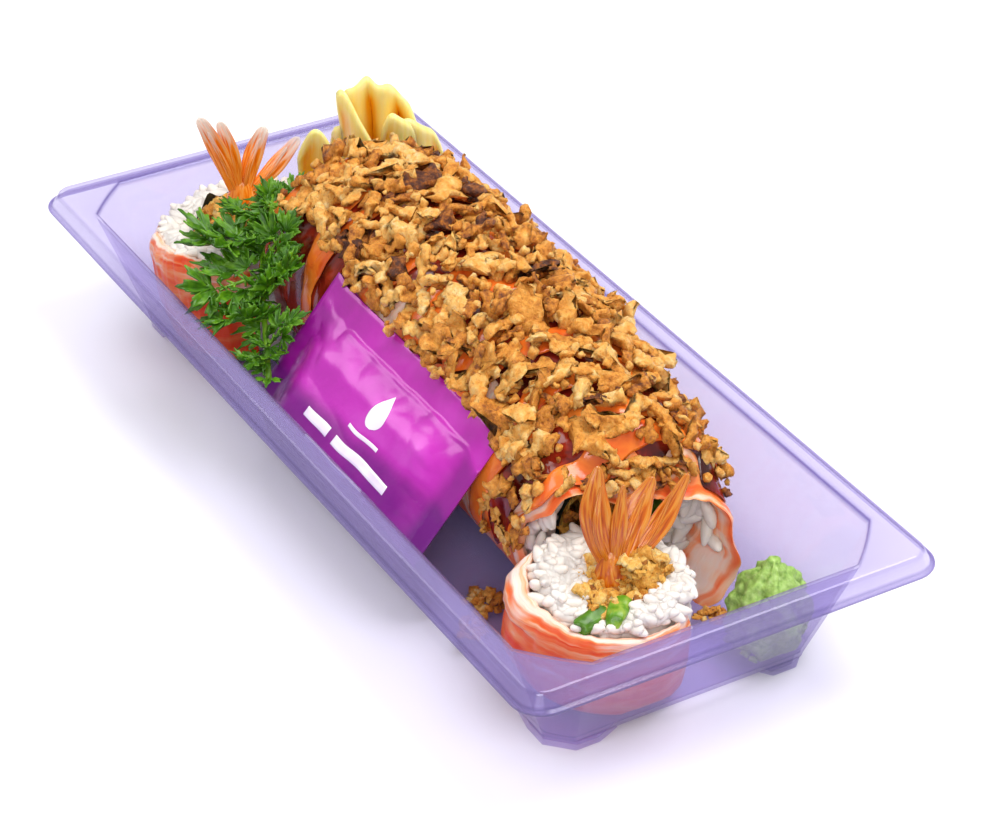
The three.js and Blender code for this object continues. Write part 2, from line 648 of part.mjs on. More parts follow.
// ---------------------------------------------------------------- ginger
// A thin slice stood up: it waves along its width, narrows to its foot and droops at its top corners.
function gingerSlice({ centre, heading, width, height, waves, lean, foot, droop, square }) {
  const way = vec(cos(heading), sin(heading), 0), out = vec(-sin(heading), cos(heading), 0);
  return (u, v) => {
    const spread = (foot + (1 - foot) * sqrt(max(0, v))) * width, s = u - 0.5;
    const ruffle = 1.9 * sin(2 * PI * waves * u + 2 * v) * (0.25 + v);
    const crest = height * v * (1 - droop * v * abs(2 * s) ** square);
    return vec(...centre).addScaledVector(way, spread * s).addScaledVector(out, ruffle + lean * v * v)
      .add(vec(0, 0, crest));
  };
}

function gingerHeap() {
  const [x, y] = ginger.at, look = rad(56), parts = [];
  const core = [[0, 10, 8.5], [12, 9.5, 8], [24, 8, 6.5], [33, 5, 4]].map(([z, long, wide]) =>
    ringAngles(10).map((t) => vec(
      x + 1 + long * cos(t) * cos(look) - wide * sin(t) * sin(look),
      y - 2 + long * cos(t) * sin(look) + wide * sin(t) * cos(look), floorTop + z)));
  parts.push(loft(core));
  const across = vec(cos(look), sin(look), 0), behind = vec(-sin(look), cos(look), 0);
  for (const [along, back, turn, width, height, waves] of ginger.slices) {
    const centre = vec(x, y - 1.5, floorTop + 1).addScaledVector(across, along).addScaledVector(behind, back);
    const slice = gingerSlice({
      centre: centre.toArray(), heading: look + turn, width, height, waves,
      lean: 1, foot: 0.7, droop: 0.1, square: 4,
    });
    parts.push(sheet(slice, 6, 2, () => 1.7));
  }
  return largest(joined(parts).intersect(room));
}

function looseGinger() {
  const slice = gingerSlice({
    centre: [-81, 9.6, floorTop + 0.5], heading: rad(62), width: 9.5, height: 44.5,
    waves: 0.5, lean: -1.5, foot: 0.8, droop: 0.2, square: 2,
  });
  return sheet(slice, 5, 5, () => 1.3);
}

// ---------------------------------------------------------------- wasabi
// A piped lump: flutes that twist as they rise, closing in a small rosette.
function makeWasabi() {
  const [x, y] = wasabi.at, levels = [
    [0, 0.82], [0.12, 0.98], [0.34, 1], [0.56, 0.94], [0.74, 0.8], [0.9, 0.56], [1, 0.26],
  ];
  const rings = levels.map(([t, part]) => ringAngles(3 * wasabi.flutes).map((angle) => {
    const flute = 1 + 0.13 * sin(wasabi.flutes * (angle + 0.9 * t));
    const r = wasabi.radius * part * flute;
    return vec(x + r * cos(angle), y + r * sin(angle), floorTop + t * wasabi.height);
  }));
  return loft(rings).intersect(room);
}

// ---------------------------------------------------------------- parsley
// A leaf's stalk and toothed blade: distance from the root and half width, as parts of its length.
const leafOutline = [
  [0, 0.04], [0.22, 0.06], [0.34, 0.5], [0.48, 0.26], [0.66, 0.52], [0.82, 0.28], [1, 0.08],
];

function parsleyLeaf({ root, heading, tilt, size, roll: sway }) {
  const turn = new THREE.Quaternion().setFromEuler(new THREE.Euler(sway, tilt, heading, "ZYX"));
  const last = leafOutline.length - 1;
  const blade = (u, v) => {
    const k = min(last - 1, max(0, Math.floor(v * last))), t = v * last - k;
    const [along, half] = [0, 1].map((part) => size * mix(leafOutline[k][part], leafOutline[k + 1][part], t));
    const side = 2 * u - 1, lift = 0.35 * abs(side) * half + 0.05 * size * sin(9 * v + side);
    return vec(along, side * half, lift).applyQuaternion(turn).add(vec(...root));
  };
  return sheet(blade, 2, last, () => 0.8);
}

const sprig = {
  stem: [[-23, -34, 22.8], [-32, -30, 27.8], [-44, -24.5, 32.8], [-56, -18, 37.3], [-63, -12, 39.8]],
  leaves: [
    { root: [-63, -12.2, 39.7], heading: 1.85, tilt: -0.3, size: 11, roll: -0.1 },
    { root: [-60, -14.5, 38.8], heading: -2.6, tilt: -0.1, size: 12, roll: 0.3 },
    { root: [-62.5, -12.5, 39.6], heading: 2.6, tilt: -0.45, size: 9.5, roll: 0.4 },
    { root: [-54, -19, 36.6], heading: -1.95, tilt: -0.1, size: 16, roll: 0.3 },
    { root: [-50, -21, 35.2], heading: 1.5, tilt: -0.85, size: 11.5, roll: 0.3 },
    { root: [-47, -23, 34], heading: -1.55, tilt: 0.1, size: 16.5, roll: -0.35 },
    { root: [-46, -23.5, 33.6], heading: 0.7, tilt: -0.6, size: 11, roll: 0.2 },
    { root: [-41, -25.8, 31.6], heading: 1.1, tilt: -0.8, size: 12, roll: -0.3 },
    { root: [-36, -28.2, 29.6], heading: -1.95, tilt: 0, size: 12.5, roll: 0.3 },
    { root: [-30, -30.8, 26.8], heading: 1.2, tilt: -0.8, size: 9.5, roll: 0.2 },
    { root: [-27, -32.2, 25.2], heading: -1.7, tilt: -0.2, size: 7, roll: 0 },
  ],
};

function makeParsley() {
  const stem = bar(sprig.stem.map((p) => vec(...p)), [1, 1.4, 1.4, 1.2, 0.6], 5);
  return largest(joined([stem, ...sprig.leaves.map(parsleyLeaf)]).intersect(room));
}

// ---------------------------------------------------------------- assembly
const takeawaySushi = new THREE.Group();

// A group with its own origin. Solids are cut in the tray's frame, then moved into their group's.
function group(name, origin) {
  const made = new THREE.Group();
  made.name = name;
  made.position.set(...origin);
  takeawaySushi.add(made);
  return (meshName, solid, colour, roughness, extra) => {
    const mesh = meshOf(meshName, solid, colour, roughness, extra);
    mesh.geometry.translate(...origin.map((value) => -value));
    made.add(mesh);
  };
}

const white = "#f3eee6", crab = "#ee5a2e", weed = "#1d2a1c", fried = "#c98a3c", leaf = "#3f7d2a";

group("packaging", [0, 0, 0])("tray", makeTray(), "#d8d2f2", 0.15, { transparent: true, opacity: 0.4 });

for (const { name, piece, tail, grains, crown, flare } of [
  { name: "front", piece: frontPiece, tail: frontTail, grains: 13, crown: 4, flare: 0.8 },
  { name: "back", piece: backPiece, tail: backTail, grains: 12, crown: 3.5, flare: 0.5 },
]) {
  const add = group(`${name}_piece`, [...piece.foot, floorTop]);
  const filling = fillingOf(piece, crown, 6, grains).subtract(tailNeck(tail, clearance));
  add(`${name}_rice`, riceOf(piece, grains), white, 0.6);
  add(`${name}_nori`, noriOf(piece), weed, 0.7);
  add(`${name}_filling`, largest(filling), fried, 0.8);
  add(`${name}_surimi`, wrapOf(piece, flare).intersect(room), crab, 0.45);
  add(`${name}_tail`, tailOf(tail), "#e8732c", 0.3);
}

const surimi = rollSurimi(), parsley = makeParsley();
const addRoll = group("roll", [0, 0, floorTop]);
addRoll("roll_rice", rollRice(), white, 0.6);
addRoll("roll_nori", rollNori(), weed, 0.7);
addRoll("roll_filling", rollFilling(), fried, 0.8);
addRoll("roll_green", rollGreen(), leaf, 0.5);
addRoll("roll_surimi", surimi, crab, 0.45);
addRoll("onions", onionHeap([surimi, makeSachet(clearance), parsley]), fried, 0.85);

const addExtra = group("extras", [0, 0, floorTop]);
addExtra("sachet", makeSachet().intersect(room), "#b4109e", 0.25);
fallen.forEach((bit, i) => addExtra(`fallen_onion_${i + 1}`, fallenOnion(bit, i + 3), fried, 0.85));
addExtra("ginger", gingerHeap(), "#f6d873", 0.35);
addExtra("ginger_slice", looseGinger(), "#f9e6a0", 0.35);
addExtra("wasabi", makeWasabi(), "#b5dc7a", 0.6);
addExtra("parsley", parsley, leaf, 0.5);

export default takeawaySushi;
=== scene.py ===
import math
import random

import bmesh
import bpy
from mathutils import Matrix, Vector, noise


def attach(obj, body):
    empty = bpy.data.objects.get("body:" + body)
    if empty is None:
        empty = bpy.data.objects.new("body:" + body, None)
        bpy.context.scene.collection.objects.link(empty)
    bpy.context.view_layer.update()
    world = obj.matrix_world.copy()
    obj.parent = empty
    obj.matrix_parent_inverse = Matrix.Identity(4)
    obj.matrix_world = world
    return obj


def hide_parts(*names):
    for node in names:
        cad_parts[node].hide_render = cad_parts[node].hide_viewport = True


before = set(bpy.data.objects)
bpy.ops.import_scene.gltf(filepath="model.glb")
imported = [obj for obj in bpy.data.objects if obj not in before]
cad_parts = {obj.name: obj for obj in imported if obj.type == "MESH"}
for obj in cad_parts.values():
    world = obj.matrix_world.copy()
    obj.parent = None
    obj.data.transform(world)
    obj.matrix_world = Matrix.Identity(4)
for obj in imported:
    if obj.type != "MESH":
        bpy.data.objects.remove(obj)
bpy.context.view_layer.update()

mm = 0.001
floorTop = 3.1  # mm, what the food stands on inside the tray
air = 0.3  # mm between two pieces that touch
weldGap = 1e-3  # mm, points nearer than this become one
goldenAngle, goldenStep = 137.5, 0.618  # turns in degrees and steps along a span that never line up in rows


def lerp(a, b, t):
    return a + (b - a) * t


def smooth(x, a, b):
    t = min(1, max(0, (x - a) / (b - a)))
    return t * t * (3 - 2 * t)


# A smooth bumpy field with lumps of a given size in mm, about -1 to 1
def bumps(x, y, z, size):
    return noise.noise(Vector((x, y, z)) / size + Vector((31.7, 12.3, 47.1)))


# Sharp creases between rounded bulges, 0 in a crease and about 1 on a bulge
def creases(x, y, z, size):
    return min(1, abs(bumps(x, y, z, size)) * 2.4)


# 0 at both ends and 1 half way: out along one face of a sheet and back along the other
def outAndBack(t):
    return 1 - abs(2 * t - 1)


# 1 along most of a span and rounded off to 0 at both ends, more abruptly with a higher power
def roundedOff(t, power):
    return math.sqrt(max(0, 1 - abs(2 * t - 1) ** power))


# The two stops on either side of v, from 0 to 1, and how far v is from the first to the second
def nearStops(stops, v):
    k = min(len(stops) - 2, int(v * (len(stops) - 1)))
    return stops[k], stops[k + 1], v * (len(stops) - 1) - k


# The values at v along a list of stops; each stop is a tuple
def spline(stops, v):
    before, after, t = nearStops(stops, v)
    return [lerp(a, b, t) for a, b in zip(before, after)]


# Any heading, in radians
def anyTurn(draw):
    return draw.uniform(0, 6.3)


# A grid bent into shape: place(u, v) gives the point for u and v from 0 to 1, in mm
def bentGrid(columns, rows, place, tone=None, uvScale=(1, 1)):
    made = bmesh.new()
    made.loops.layers.uv.new("UVMap")
    bmesh.ops.create_grid(made, x_segments=columns, y_segments=rows, size=0.5, calc_uvs=True)
    toneLayer = made.verts.layers.float.new("tone")
    for vert in made.verts:
        u, v = vert.co.x + 0.5, vert.co.y + 0.5
        vert[toneLayer] = tone(u, v) if tone else 0
        vert.co = place(u, v)
    if uvScale != (1, 1):
        layer = made.loops.layers.uv.active
        for face in made.faces:
            for loop in face.loops:
                loop[layer].uv = [c * scale for c, scale in zip(loop[layer].uv, uvScale)]
    return made


# The same, welded where its edges meet
def bentShell(columns, rows, place, tone=None, uvScale=(1, 1)):
    made = bentGrid(columns, rows, place, tone, uvScale)
    bmesh.ops.remove_doubles(made, verts=made.verts, dist=weldGap)
    return made


def openEdges(made):
    return [edge for edge in made.edges if edge.is_boundary]


# The same, closed round u, with its open ends filled
def bentTube(columns, rows, place, tone=None, uvScale=(1, 1)):
    made = bentShell(columns, rows, place, tone, uvScale)
    rims = openEdges(made)
    if rims:
        bmesh.ops.holes_fill(made, edges=rims, sides=0)
    return made


def meshOf(name, made):
    mesh = bpy.data.meshes.new(name)
    made.to_mesh(mesh)
    made.free()
    return mesh


def showObject(name, content):
    shown = bpy.data.objects.new(name, content)
    bpy.context.scene.collection.objects.link(shown)
    return shown


def finishPiece(name, made, material, standsFor=(), sharp=None, outward=True):
    if outward:
        bmesh.ops.recalc_face_normals(made, faces=made.faces)
    bmesh.ops.scale(made, vec=(mm, mm, mm), verts=made.verts)
    mesh = meshOf(name, made)
    mesh.polygons.foreach_set("use_smooth", [True] * len(mesh.polygons))
    if sharp:
        mesh.set_sharp_from_angle(angle=math.radians(sharp))
    mesh.materials.append(material)
    piece = showObject(name, mesh)
    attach(piece, "root")
    if standsFor:
        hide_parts(*standsFor)


# Small shapes that are copied many times into one heap
def baseShape(made):
    bmesh.ops.recalc_face_normals(made, faces=made.faces)
    if "tone" not in made.verts.layers.float:
        made.verts.layers.float.new("tone")
    return meshOf("baseShape", made)


# Without a tone the copy keeps the shape's own
def addCopy(heap, shape, placed, tone=None):
    copy = shape.copy()
    copy.transform(placed)
    if tone is not None:
        copy.attributes["tone"].data.foreach_set("value", [tone] * len(copy.vertices))
    heap.from_mesh(copy)
    bpy.data.meshes.remove(copy)


def newHeap(withUV=False):
    heap = bmesh.new()
    heap.verts.layers.float.new("tone")
    if withUV:
        heap.loops.layers.uv.new("UVMap")
    return heap


# Moves a part into a heap
def addPart(heap, made):
    mesh = meshOf("part", made)
    heap.from_mesh(mesh)
    bpy.data.meshes.remove(mesh)


# Stands a shape's Z along outward, turned by heading and tilted
def stood(centre, outward, heading, tilt, size):
    upright = outward.to_track_quat("Z", "Y").to_matrix().to_4x4()
    turned = Matrix.Rotation(heading, 4, "Z") @ Matrix.Rotation(tilt, 4, "Y")
    return Matrix.Translation(centre) @ upright @ turned @ Matrix.Diagonal((*size, 1))


# Materials: colours are sRGB hex, turned to linear here
def linear(hexText):
    channels = [int(hexText[i : i + 2], 16) / 255 for i in (1, 3, 5)]
    return [c / 12.92 if c <= 0.04045 else ((c + 0.055) / 1.055) ** 2.4 for c in channels] + [1]


def newMaterial(name):
    material = bpy.data.materials.new(name)
    material.use_nodes = True
    material.node_tree.nodes.clear()
    return material


# Adds a node: settings by name, sockets by name or number, a socket given as a value is linked
def addNode(material, kind, sockets=None, ramp=None, **settings):
    made = material.node_tree.nodes.new("ShaderNode" + kind)
    for key, value in settings.items():
        setattr(made, key, value)
    for key, value in (sockets or {}).items():
        if isinstance(value, bpy.types.NodeSocket):
            material.node_tree.links.new(value, made.inputs[key])
        else:
            made.inputs[key].default_value = value
    if ramp:
        made.color_ramp.elements.remove(made.color_ramp.elements[1])
        for i, (position, colour) in enumerate(ramp):
            stop = made.color_ramp.elements[0] if i == 0 else made.color_ramp.elements.new(position)
            stop.position, stop.color = position, linear(colour)
    return made


# The noise scale for lumps of a size in mm, on Object coordinates, which are in metres
def perMm(size):
    return 1 / (size * mm)


# A noise spread about its middle and moved by the piece's own tone, which is painted on its points
def mottled(material, noiseSocket, spread, shift, clamp=False):
    tone = addNode(material, "Attribute", attribute_name="tone").outputs["Fac"]
    wide = addNode(material, "Math", {0: noiseSocket, 1: spread, 2: shift}, operation="MULTIPLY_ADD")
    moved = addNode(material, "Math", {0: wide.outputs[0], 1: tone}, operation="ADD", use_clamp=clamp)
    return moved.outputs[0]


# Light that runs under the skin: how much, and how many mm of red, green and blue
def under(weight, *reach):
    depths = [c * mm for c in reach]
    return {"Subsurface Weight": weight, "Subsurface Radius": depths, "Subsurface Scale": 1.0}


# What most finishes end with: relief, with its strength and its depth in mm, the shader and the output.
# more holds the shader's other sockets
def finished(material, colour, roughness, relief, strength, depth, more):
    bump = addNode(material, "Bump", {"Height": relief, "Strength": strength, "Distance": depth * mm})
    shader = addNode(material, "BsdfPrincipled", {
        "Base Color": colour, "Roughness": roughness, "Normal": bump.outputs[0], **more,
    })
    addNode(material, "OutputMaterial", {"Surface": shader.outputs[0]})
    return material


def friedMaterial(name, ramp, hollowShade, gloss):
    # Fried onion and batter: dry crisp crumb, matt with a trace of oil, pale crests and dark pits: a
    # painted highlight on the crests and painted shade in the hollows of its bumps
    material = newMaterial(name)
    here = addNode(material, "TexCoord").outputs["Object"]
    coarse = addNode(material, "TexNoise", {
        "Vector": here, "Scale": perMm(2.2), "Detail": 6, "Roughness": 0.7,
    }).outputs["Fac"]
    fine = addNode(material, "TexNoise", {
        "Vector": here, "Scale": perMm(0.8), "Detail": 4, "Roughness": 0.7,
    }).outputs["Fac"]
    # Painted highlight: the coarse lumps that raise the relief also lift the ramp, so crests come out
    # paler, over each bit's own tone
    shade = mottled(material, coarse, 1.5, -0.3)
    colour = addNode(material, "ValToRGB", {"Fac": shade}, ramp=ramp)
    # Painted shade: the darker pit colour goes into the hollows of the fine relief
    hollowShadeMask = addNode(material, "MapRange", {
        "Value": fine, "From Min": 0.46, "From Max": 0.28, "To Max": 0.6,
    })
    colourWithHollowShade = addNode(material, "Mix", {
        0: hollowShadeMask.outputs[0], 6: colour.outputs["Color"], 7: linear(hollowShade),
    }, data_type="RGBA")
    rough = addNode(material, "MapRange", {"Value": fine, "To Min": gloss, "To Max": gloss + 0.3})
    relief = addNode(material, "Math", {0: fine, 1: coarse}, operation="ADD")
    return finished(
        material, colourWithHollowShade.outputs[2], rough.outputs[0], relief.outputs[0], 0.9, 0.8,
        {"IOR": 1.45, **under(0.12, 1.4, 0.8, 0.3)},
    )


friedOnion = friedMaterial("friedOnion", [
    (0.0, "#4E2618"), (0.16, "#98541A"), (0.33, "#D0822A"), (0.5, "#EEA240"), (0.72, "#F9C26C"),
    (1.0, "#FDE2A8"),
], "#9C5412", 0.3)
friedBatter = friedMaterial("friedBatter", [
    (0.0, "#7E4412"), (0.2, "#BC7422"), (0.42, "#E49A34"), (0.68, "#F6BE5C"), (1.0, "#FDE2A0"),
], "#A85E14", 0.3)


def riceMaterial():
    # Cooked sushi rice: swollen translucent grain, dressed with vinegar, so softly glossy
    material = newMaterial("cookedRice")
    here = addNode(material, "TexCoord").outputs["Object"]
    cloud = addNode(material, "TexNoise", {"Vector": here, "Scale": perMm(3), "Detail": 2})
    colour = addNode(material, "ValToRGB", {"Fac": cloud.outputs["Fac"]}, ramp=[
        (0.3, "#E0D5CB"), (0.7, "#F0E8DE"),
    ])
    fine = addNode(material, "TexNoise", {"Vector": here, "Scale": perMm(0.9), "Detail": 2})
    return finished(
        material, colour.outputs["Color"], 0.36, fine.outputs["Fac"], 0.25, 0.2,
        {"IOR": 1.42, **under(0.35, 1.4, 1.2, 1.0)},
    )


cookedRice = riceMaterial()


def noriMaterial():
    # Roasted seaweed: dark green-black, dimpled, softened by the rice
    material = newMaterial("roastedNori")
    here = addNode(material, "TexCoord").outputs["Object"]
    dimples = addNode(material, "TexNoise", {
        "Vector": here, "Scale": perMm(0.8), "Detail": 4,
    }).outputs["Fac"]
    colour = addNode(material, "ValToRGB", {"Fac": dimples}, ramp=[(0.3, "#0B100D"), (0.75, "#262C24")])
    return finished(material, colour.outputs["Color"], 0.45, dimples, 0.8, 0.3, {})


roastedNori = noriMaterial()


def surimiMaterial():
    # Crab stick: white fish paste in fine strands, its skin dyed orange-red in uneven streaks. tone is 1 on
    # the dyed side, more where the dye is deep, and 0 on the white side; u runs along the strands
    material = newMaterial("crabStick")
    uv = addNode(material, "UVMap", uv_map="UVMap").outputs[0]
    tone = addNode(material, "Attribute", attribute_name="tone").outputs["Fac"]
    along = addNode(material, "Mapping", {"Vector": uv, "Scale": (5, 46, 1)})
    streaks = addNode(material, "TexNoise", {
        "Vector": along.outputs[0], "Scale": 1, "Detail": 4, "Distortion": 0.5,
    })
    excess = addNode(material, "Math", {0: tone, 1: 1}, operation="SUBTRACT")
    extra = addNode(material, "Math", {0: excess.outputs[0], 1: 0}, operation="MAXIMUM")
    strands = addNode(material, "Math", {
        0: extra.outputs[0], 1: -0.16, 2: streaks.outputs["Fac"],
    }, operation="MULTIPLY_ADD").outputs[0]
    finer = addNode(material, "Mapping", {"Vector": uv, "Scale": (7, 190, 1)})
    fibres = addNode(material, "TexNoise", {"Vector": finer.outputs[0], "Scale": 1, "Detail": 2})
    dyed = addNode(material, "ValToRGB", {"Fac": strands}, ramp=[
        (0.3, "#F24A10"), (0.44, "#FA7432"), (0.52, "#FC9E62"), (0.58, "#FDC8A8"), (0.68, "#FCE2D4"),
    ])
    plain = addNode(material, "ValToRGB", {"Fac": strands}, ramp=[
        (0.32, "#F88248"), (0.41, "#FAB48E"), (0.5, "#F7D0BC"), (0.75, "#F8E6DC"),
    ])
    colour = addNode(material, "Mix", {
        0: tone, 6: plain.outputs["Color"], 7: dyed.outputs["Color"],
    }, data_type="RGBA")
    relief = addNode(material, "Math", {0: fibres.outputs["Fac"], 1: strands}, operation="ADD")
    return finished(
        material, colour.outputs[2], 0.3, relief.outputs[0], 0.5, 0.4,
        {"IOR": 1.42, **under(0.3, 2, 0.8, 0.5)},
    )


crabStick = surimiMaterial()


def sauceMaterial(name, ramp, rough):
    # Thick bottled sauce: smooth, wet and high in gloss
    material = newMaterial(name)
    here = addNode(material, "TexCoord").outputs["Object"]
    swirl = addNode(material, "TexNoise", {
        "Vector": here, "Scale": perMm(7), "Detail": 3, "Distortion": 0.8,
    }).outputs["Fac"]
    colour = addNode(material, "ValToRGB", {"Fac": swirl}, ramp=ramp)
    return finished(
        material, colour.outputs["Color"], rough, swirl, 0.3, 0.8,
        {"IOR": 1.45, "Coat Weight": 0.4, "Coat Roughness": 0.08},
    )


darkSauce = sauceMaterial("sweetSoyGlaze", [(0.3, "#3A0B08"), (0.5, "#6E150C"), (0.68, "#A8301A")], 0.16)
orangeSauce = sauceMaterial("spicyMayonnaise", [
    (0.3, "#D9501A"), (0.55, "#F07A26"), (0.8, "#F8963A"),
], 0.22)


def shellMaterial(name, ramp, clearTint):
    # Prawn tail: thin horny shell, glossy and translucent, fading to clear along the blades.
    # tone is how clear
    material = newMaterial(name)
    uv = addNode(material, "UVMap", uv_map="UVMap").outputs[0]
    along = addNode(material, "Mapping", {"Vector": uv, "Scale": (22, 3, 1)})
    ribs = addNode(material, "TexNoise", {
        "Vector": along.outputs[0], "Scale": 1, "Detail": 3, "Distortion": 0.6,
    }).outputs["Fac"]
    shade = addNode(material, "ValToRGB", {"Fac": ribs}, ramp=ramp)
    clear = mottled(material, ribs, 1.6, -0.8, clamp=True)
    colour = addNode(material, "Mix", {
        0: clear, 6: shade.outputs["Color"], 7: linear(clearTint),
    }, data_type="RGBA")
    bump = addNode(material, "Bump", {"Height": ribs, "Strength": 0.5, "Distance": 0.5 * mm})
    shell = addNode(material, "BsdfPrincipled", {
        "Base Color": colour.outputs[2], "Roughness": 0.2, "Normal": bump.outputs[0],
        "IOR": 1.5, "Coat Weight": 0.3, "Coat Roughness": 0.06,
    })
    through = addNode(material, "BsdfTransparent", {"Color": linear(clearTint)})
    thin = addNode(material, "Math", {0: clear, 1: 0.6}, operation="MULTIPLY")
    surface = addNode(material, "MixShader", {
        0: thin.outputs[0], 1: shell.outputs[0], 2: through.outputs[0],
    })
    addNode(material, "OutputMaterial", {"Surface": surface.outputs[0]})
    return material


friedShell = shellMaterial("friedPrawnShell", [
    (0.26, "#9C3A02"), (0.42, "#C05804"), (0.58, "#DC7E12"), (0.76, "#F6B852"),
], "#EEA448")
boiledShell = shellMaterial("boiledPrawnShell", [
    (0.28, "#DA5C00"), (0.45, "#F47E10"), (0.6, "#FC9C34"), (0.78, "#FEC880"),
], "#FDF6EE")


def plantMaterial(name, ramp, rough):
    # Fresh leaf or stalk: waxy skin, veined, lighter where it is thin
    material = newMaterial(name)
    here = addNode(material, "TexCoord").outputs["Object"]
    veins = addNode(material, "TexNoise", {"Vector": here, "Scale": perMm(2), "Detail": 3}).outputs["Fac"]
    colour = addNode(material, "ValToRGB", {"Fac": mottled(material, veins, 0.7, -0.1)}, ramp=ramp)
    return finished(
        material, colour.outputs["Color"], rough, veins, 0.3, 0.3,
        {"IOR": 1.45, **under(0.15, 0.5, 1, 0.2)},
    )


parsleyLeaf = plantMaterial("parsleyLeaf", [
    (0.1, "#1C3C04"), (0.35, "#3E7008"), (0.6, "#6C9E16"), (0.95, "#BCD84A"),
], 0.4)
greenStalk = plantMaterial("greenStalk", [(0.1, "#1E4408"), (0.5, "#5A8C16"), (0.9, "#C4D058")], 0.3)


def gingerMaterial():
    # Pickled ginger: wet translucent slice, deeper yellow down in its folds as painted shade, and paler
    # along its rim as a painted highlight
    material = newMaterial("pickledGinger")
    uv = addNode(material, "UVMap", uv_map="UVMap").outputs[0]
    along = addNode(material, "Mapping", {"Vector": uv, "Scale": (26, 3, 1)})
    strands = addNode(material, "TexNoise", {
        "Vector": along.outputs[0], "Scale": 1, "Detail": 3,
    }).outputs["Fac"]
    colour = addNode(material, "ValToRGB", {"Fac": mottled(material, strands, 0.4, -0.2)}, ramp=[
        (0.0, "#E89A00"), (0.3, "#F6BC20"), (0.6, "#FBDA74"), (1.0, "#FEEFB8"),
    ])
    return finished(
        material, colour.outputs["Color"], 0.25, strands, 0.25, 0.4,
        {"IOR": 1.42, **under(0.6, 3, 2.2, 0.6)},
    )


pickledGinger = gingerMaterial()


def wasabiMaterial():
    # Wasabi paste: mixed from powder, matt and slightly grainy
    material = newMaterial("wasabiPaste")
    here = addNode(material, "TexCoord").outputs["Object"]
    powder = addNode(material, "TexNoise", {
        "Vector": here, "Scale": perMm(1.1), "Detail": 4, "Roughness": 0.6,
    }).outputs["Fac"]
    colour = addNode(material, "ValToRGB", {"Fac": powder}, ramp=[
        (0.25, "#6E963A"), (0.5, "#9CC05C"), (0.8, "#C2DC8C"),
    ])
    return finished(
        material, colour.outputs["Color"], 0.55, powder, 0.6, 0.6, under(0.2, 1, 1.4, 0.5),
    )


wasabiPaste = wasabiMaterial()


def filmMaterial():
    # Sachet: printed polyester film over foil, so the ink shines like satin and creases catch the light.
    # tone is painted light and shade: lower in the creases, on the steep lower part and on the folded end,
    # higher on the pillow's upper swell
    material = newMaterial("printedFilm")
    here = addNode(material, "TexCoord").outputs["Object"]
    cloud = addNode(material, "TexNoise", {"Vector": here, "Scale": perMm(12), "Detail": 3}).outputs["Fac"]
    colour = addNode(material, "ValToRGB", {"Fac": mottled(material, cloud, 0.5, -0.25)}, ramp=[
        (0.0, "#700878"), (0.35, "#A01096"), (0.65, "#C420B4"), (1.0, "#DE62D4"),
    ])
    crinkle = addNode(material, "TexNoise", {"Vector": here, "Scale": perMm(3), "Detail": 4})
    return finished(
        material, colour.outputs["Color"], 0.34, crinkle.outputs["Fac"], 0.3, 0.4,
        {"Metallic": 0.08, "Coat Weight": 0.5, "Coat Roughness": 0.16},
    )


printedFilm = filmMaterial()


def whiteFilmMaterial():
    # White ink and the foil's bare white back, under the same clear film
    material = newMaterial("whiteInk")
    here = addNode(material, "TexCoord").outputs["Object"]
    cloud = addNode(material, "TexNoise", {"Vector": here, "Scale": perMm(6), "Detail": 2})
    tint = addNode(material, "ValToRGB", {"Fac": cloud.outputs["Fac"]}, ramp=[
        (0.3, "#EFE2F2"), (0.7, "#FFFFFF"),
    ])
    shader = addNode(material, "BsdfPrincipled", {
        "Base Color": tint.outputs["Color"], "Roughness": 0.3, "Coat Weight": 0.3, "Coat Roughness": 0.15,
    })
    addNode(material, "OutputMaterial", {"Surface": shader.outputs[0]})
    return material


whiteInk = whiteFilmMaterial()


def plasticMaterial():
    # Tray: thermoformed clear PET with a violet tint. It lets light through with its tint, sends a little
    # back as a pale haze, and mirrors more at a glancing angle. tone is 1 along painted shade lines at its
    # bends, where a wall is seen edge-on
    material = newMaterial("clearTintedPlastic")
    tone = addNode(material, "Attribute", attribute_name="tone").outputs["Fac"]
    # tone mixes in the dark violet of the painted shade lines at the bends
    tint = addNode(material, "Mix", {0: tone, 6: linear("#ECE9F7"), 7: linear("#7A6CB0")}, data_type="RGBA")
    clear = addNode(material, "BsdfTransparent", {"Color": tint.outputs[2]})
    haze = addNode(material, "BsdfDiffuse", {"Color": linear("#B9A6E2")})
    body = addNode(material, "MixShader", {0: 0.13, 1: clear.outputs[0], 2: haze.outputs[0]})
    mirror = addNode(material, "BsdfGlossy", {"Color": linear("#FFFFFF"), "Roughness": 0.08})
    glance = addNode(material, "LayerWeight", {"Blend": 0.5}).outputs["Facing"]
    steep = addNode(material, "Math", {0: glance, 1: 4}, operation="POWER")
    gloss = addNode(material, "Math", {0: steep.outputs[0], 1: 0.55, 2: 0.035}, operation="MULTIPLY_ADD")
    surface = addNode(material, "MixShader", {
        0: gloss.outputs[0], 1: body.outputs[0], 2: mirror.outputs[0],
    })
    addNode(material, "OutputMaterial", {"Surface": surface.outputs[0]})
    return material


clearPlastic = plasticMaterial()


def floorMaterial():
    # Plain pale paper sweep
    material = newMaterial("paleSweep")
    here = addNode(material, "TexCoord").outputs["Object"]
    cloud = addNode(material, "TexNoise", {"Vector": here, "Scale": 3, "Detail": 1})
    colour = addNode(material, "ValToRGB", {"Fac": cloud.outputs["Fac"]}, ramp=[
        (0, "#F4F4F6"), (1, "#F8F8FA"),
    ])
    shader = addNode(material, "BsdfPrincipled", {"Base Color": colour.outputs["Color"], "Roughness": 0.9})
    addNode(material, "OutputMaterial", {"Surface": shader.outputs[0]})
    return material


print("materials done")

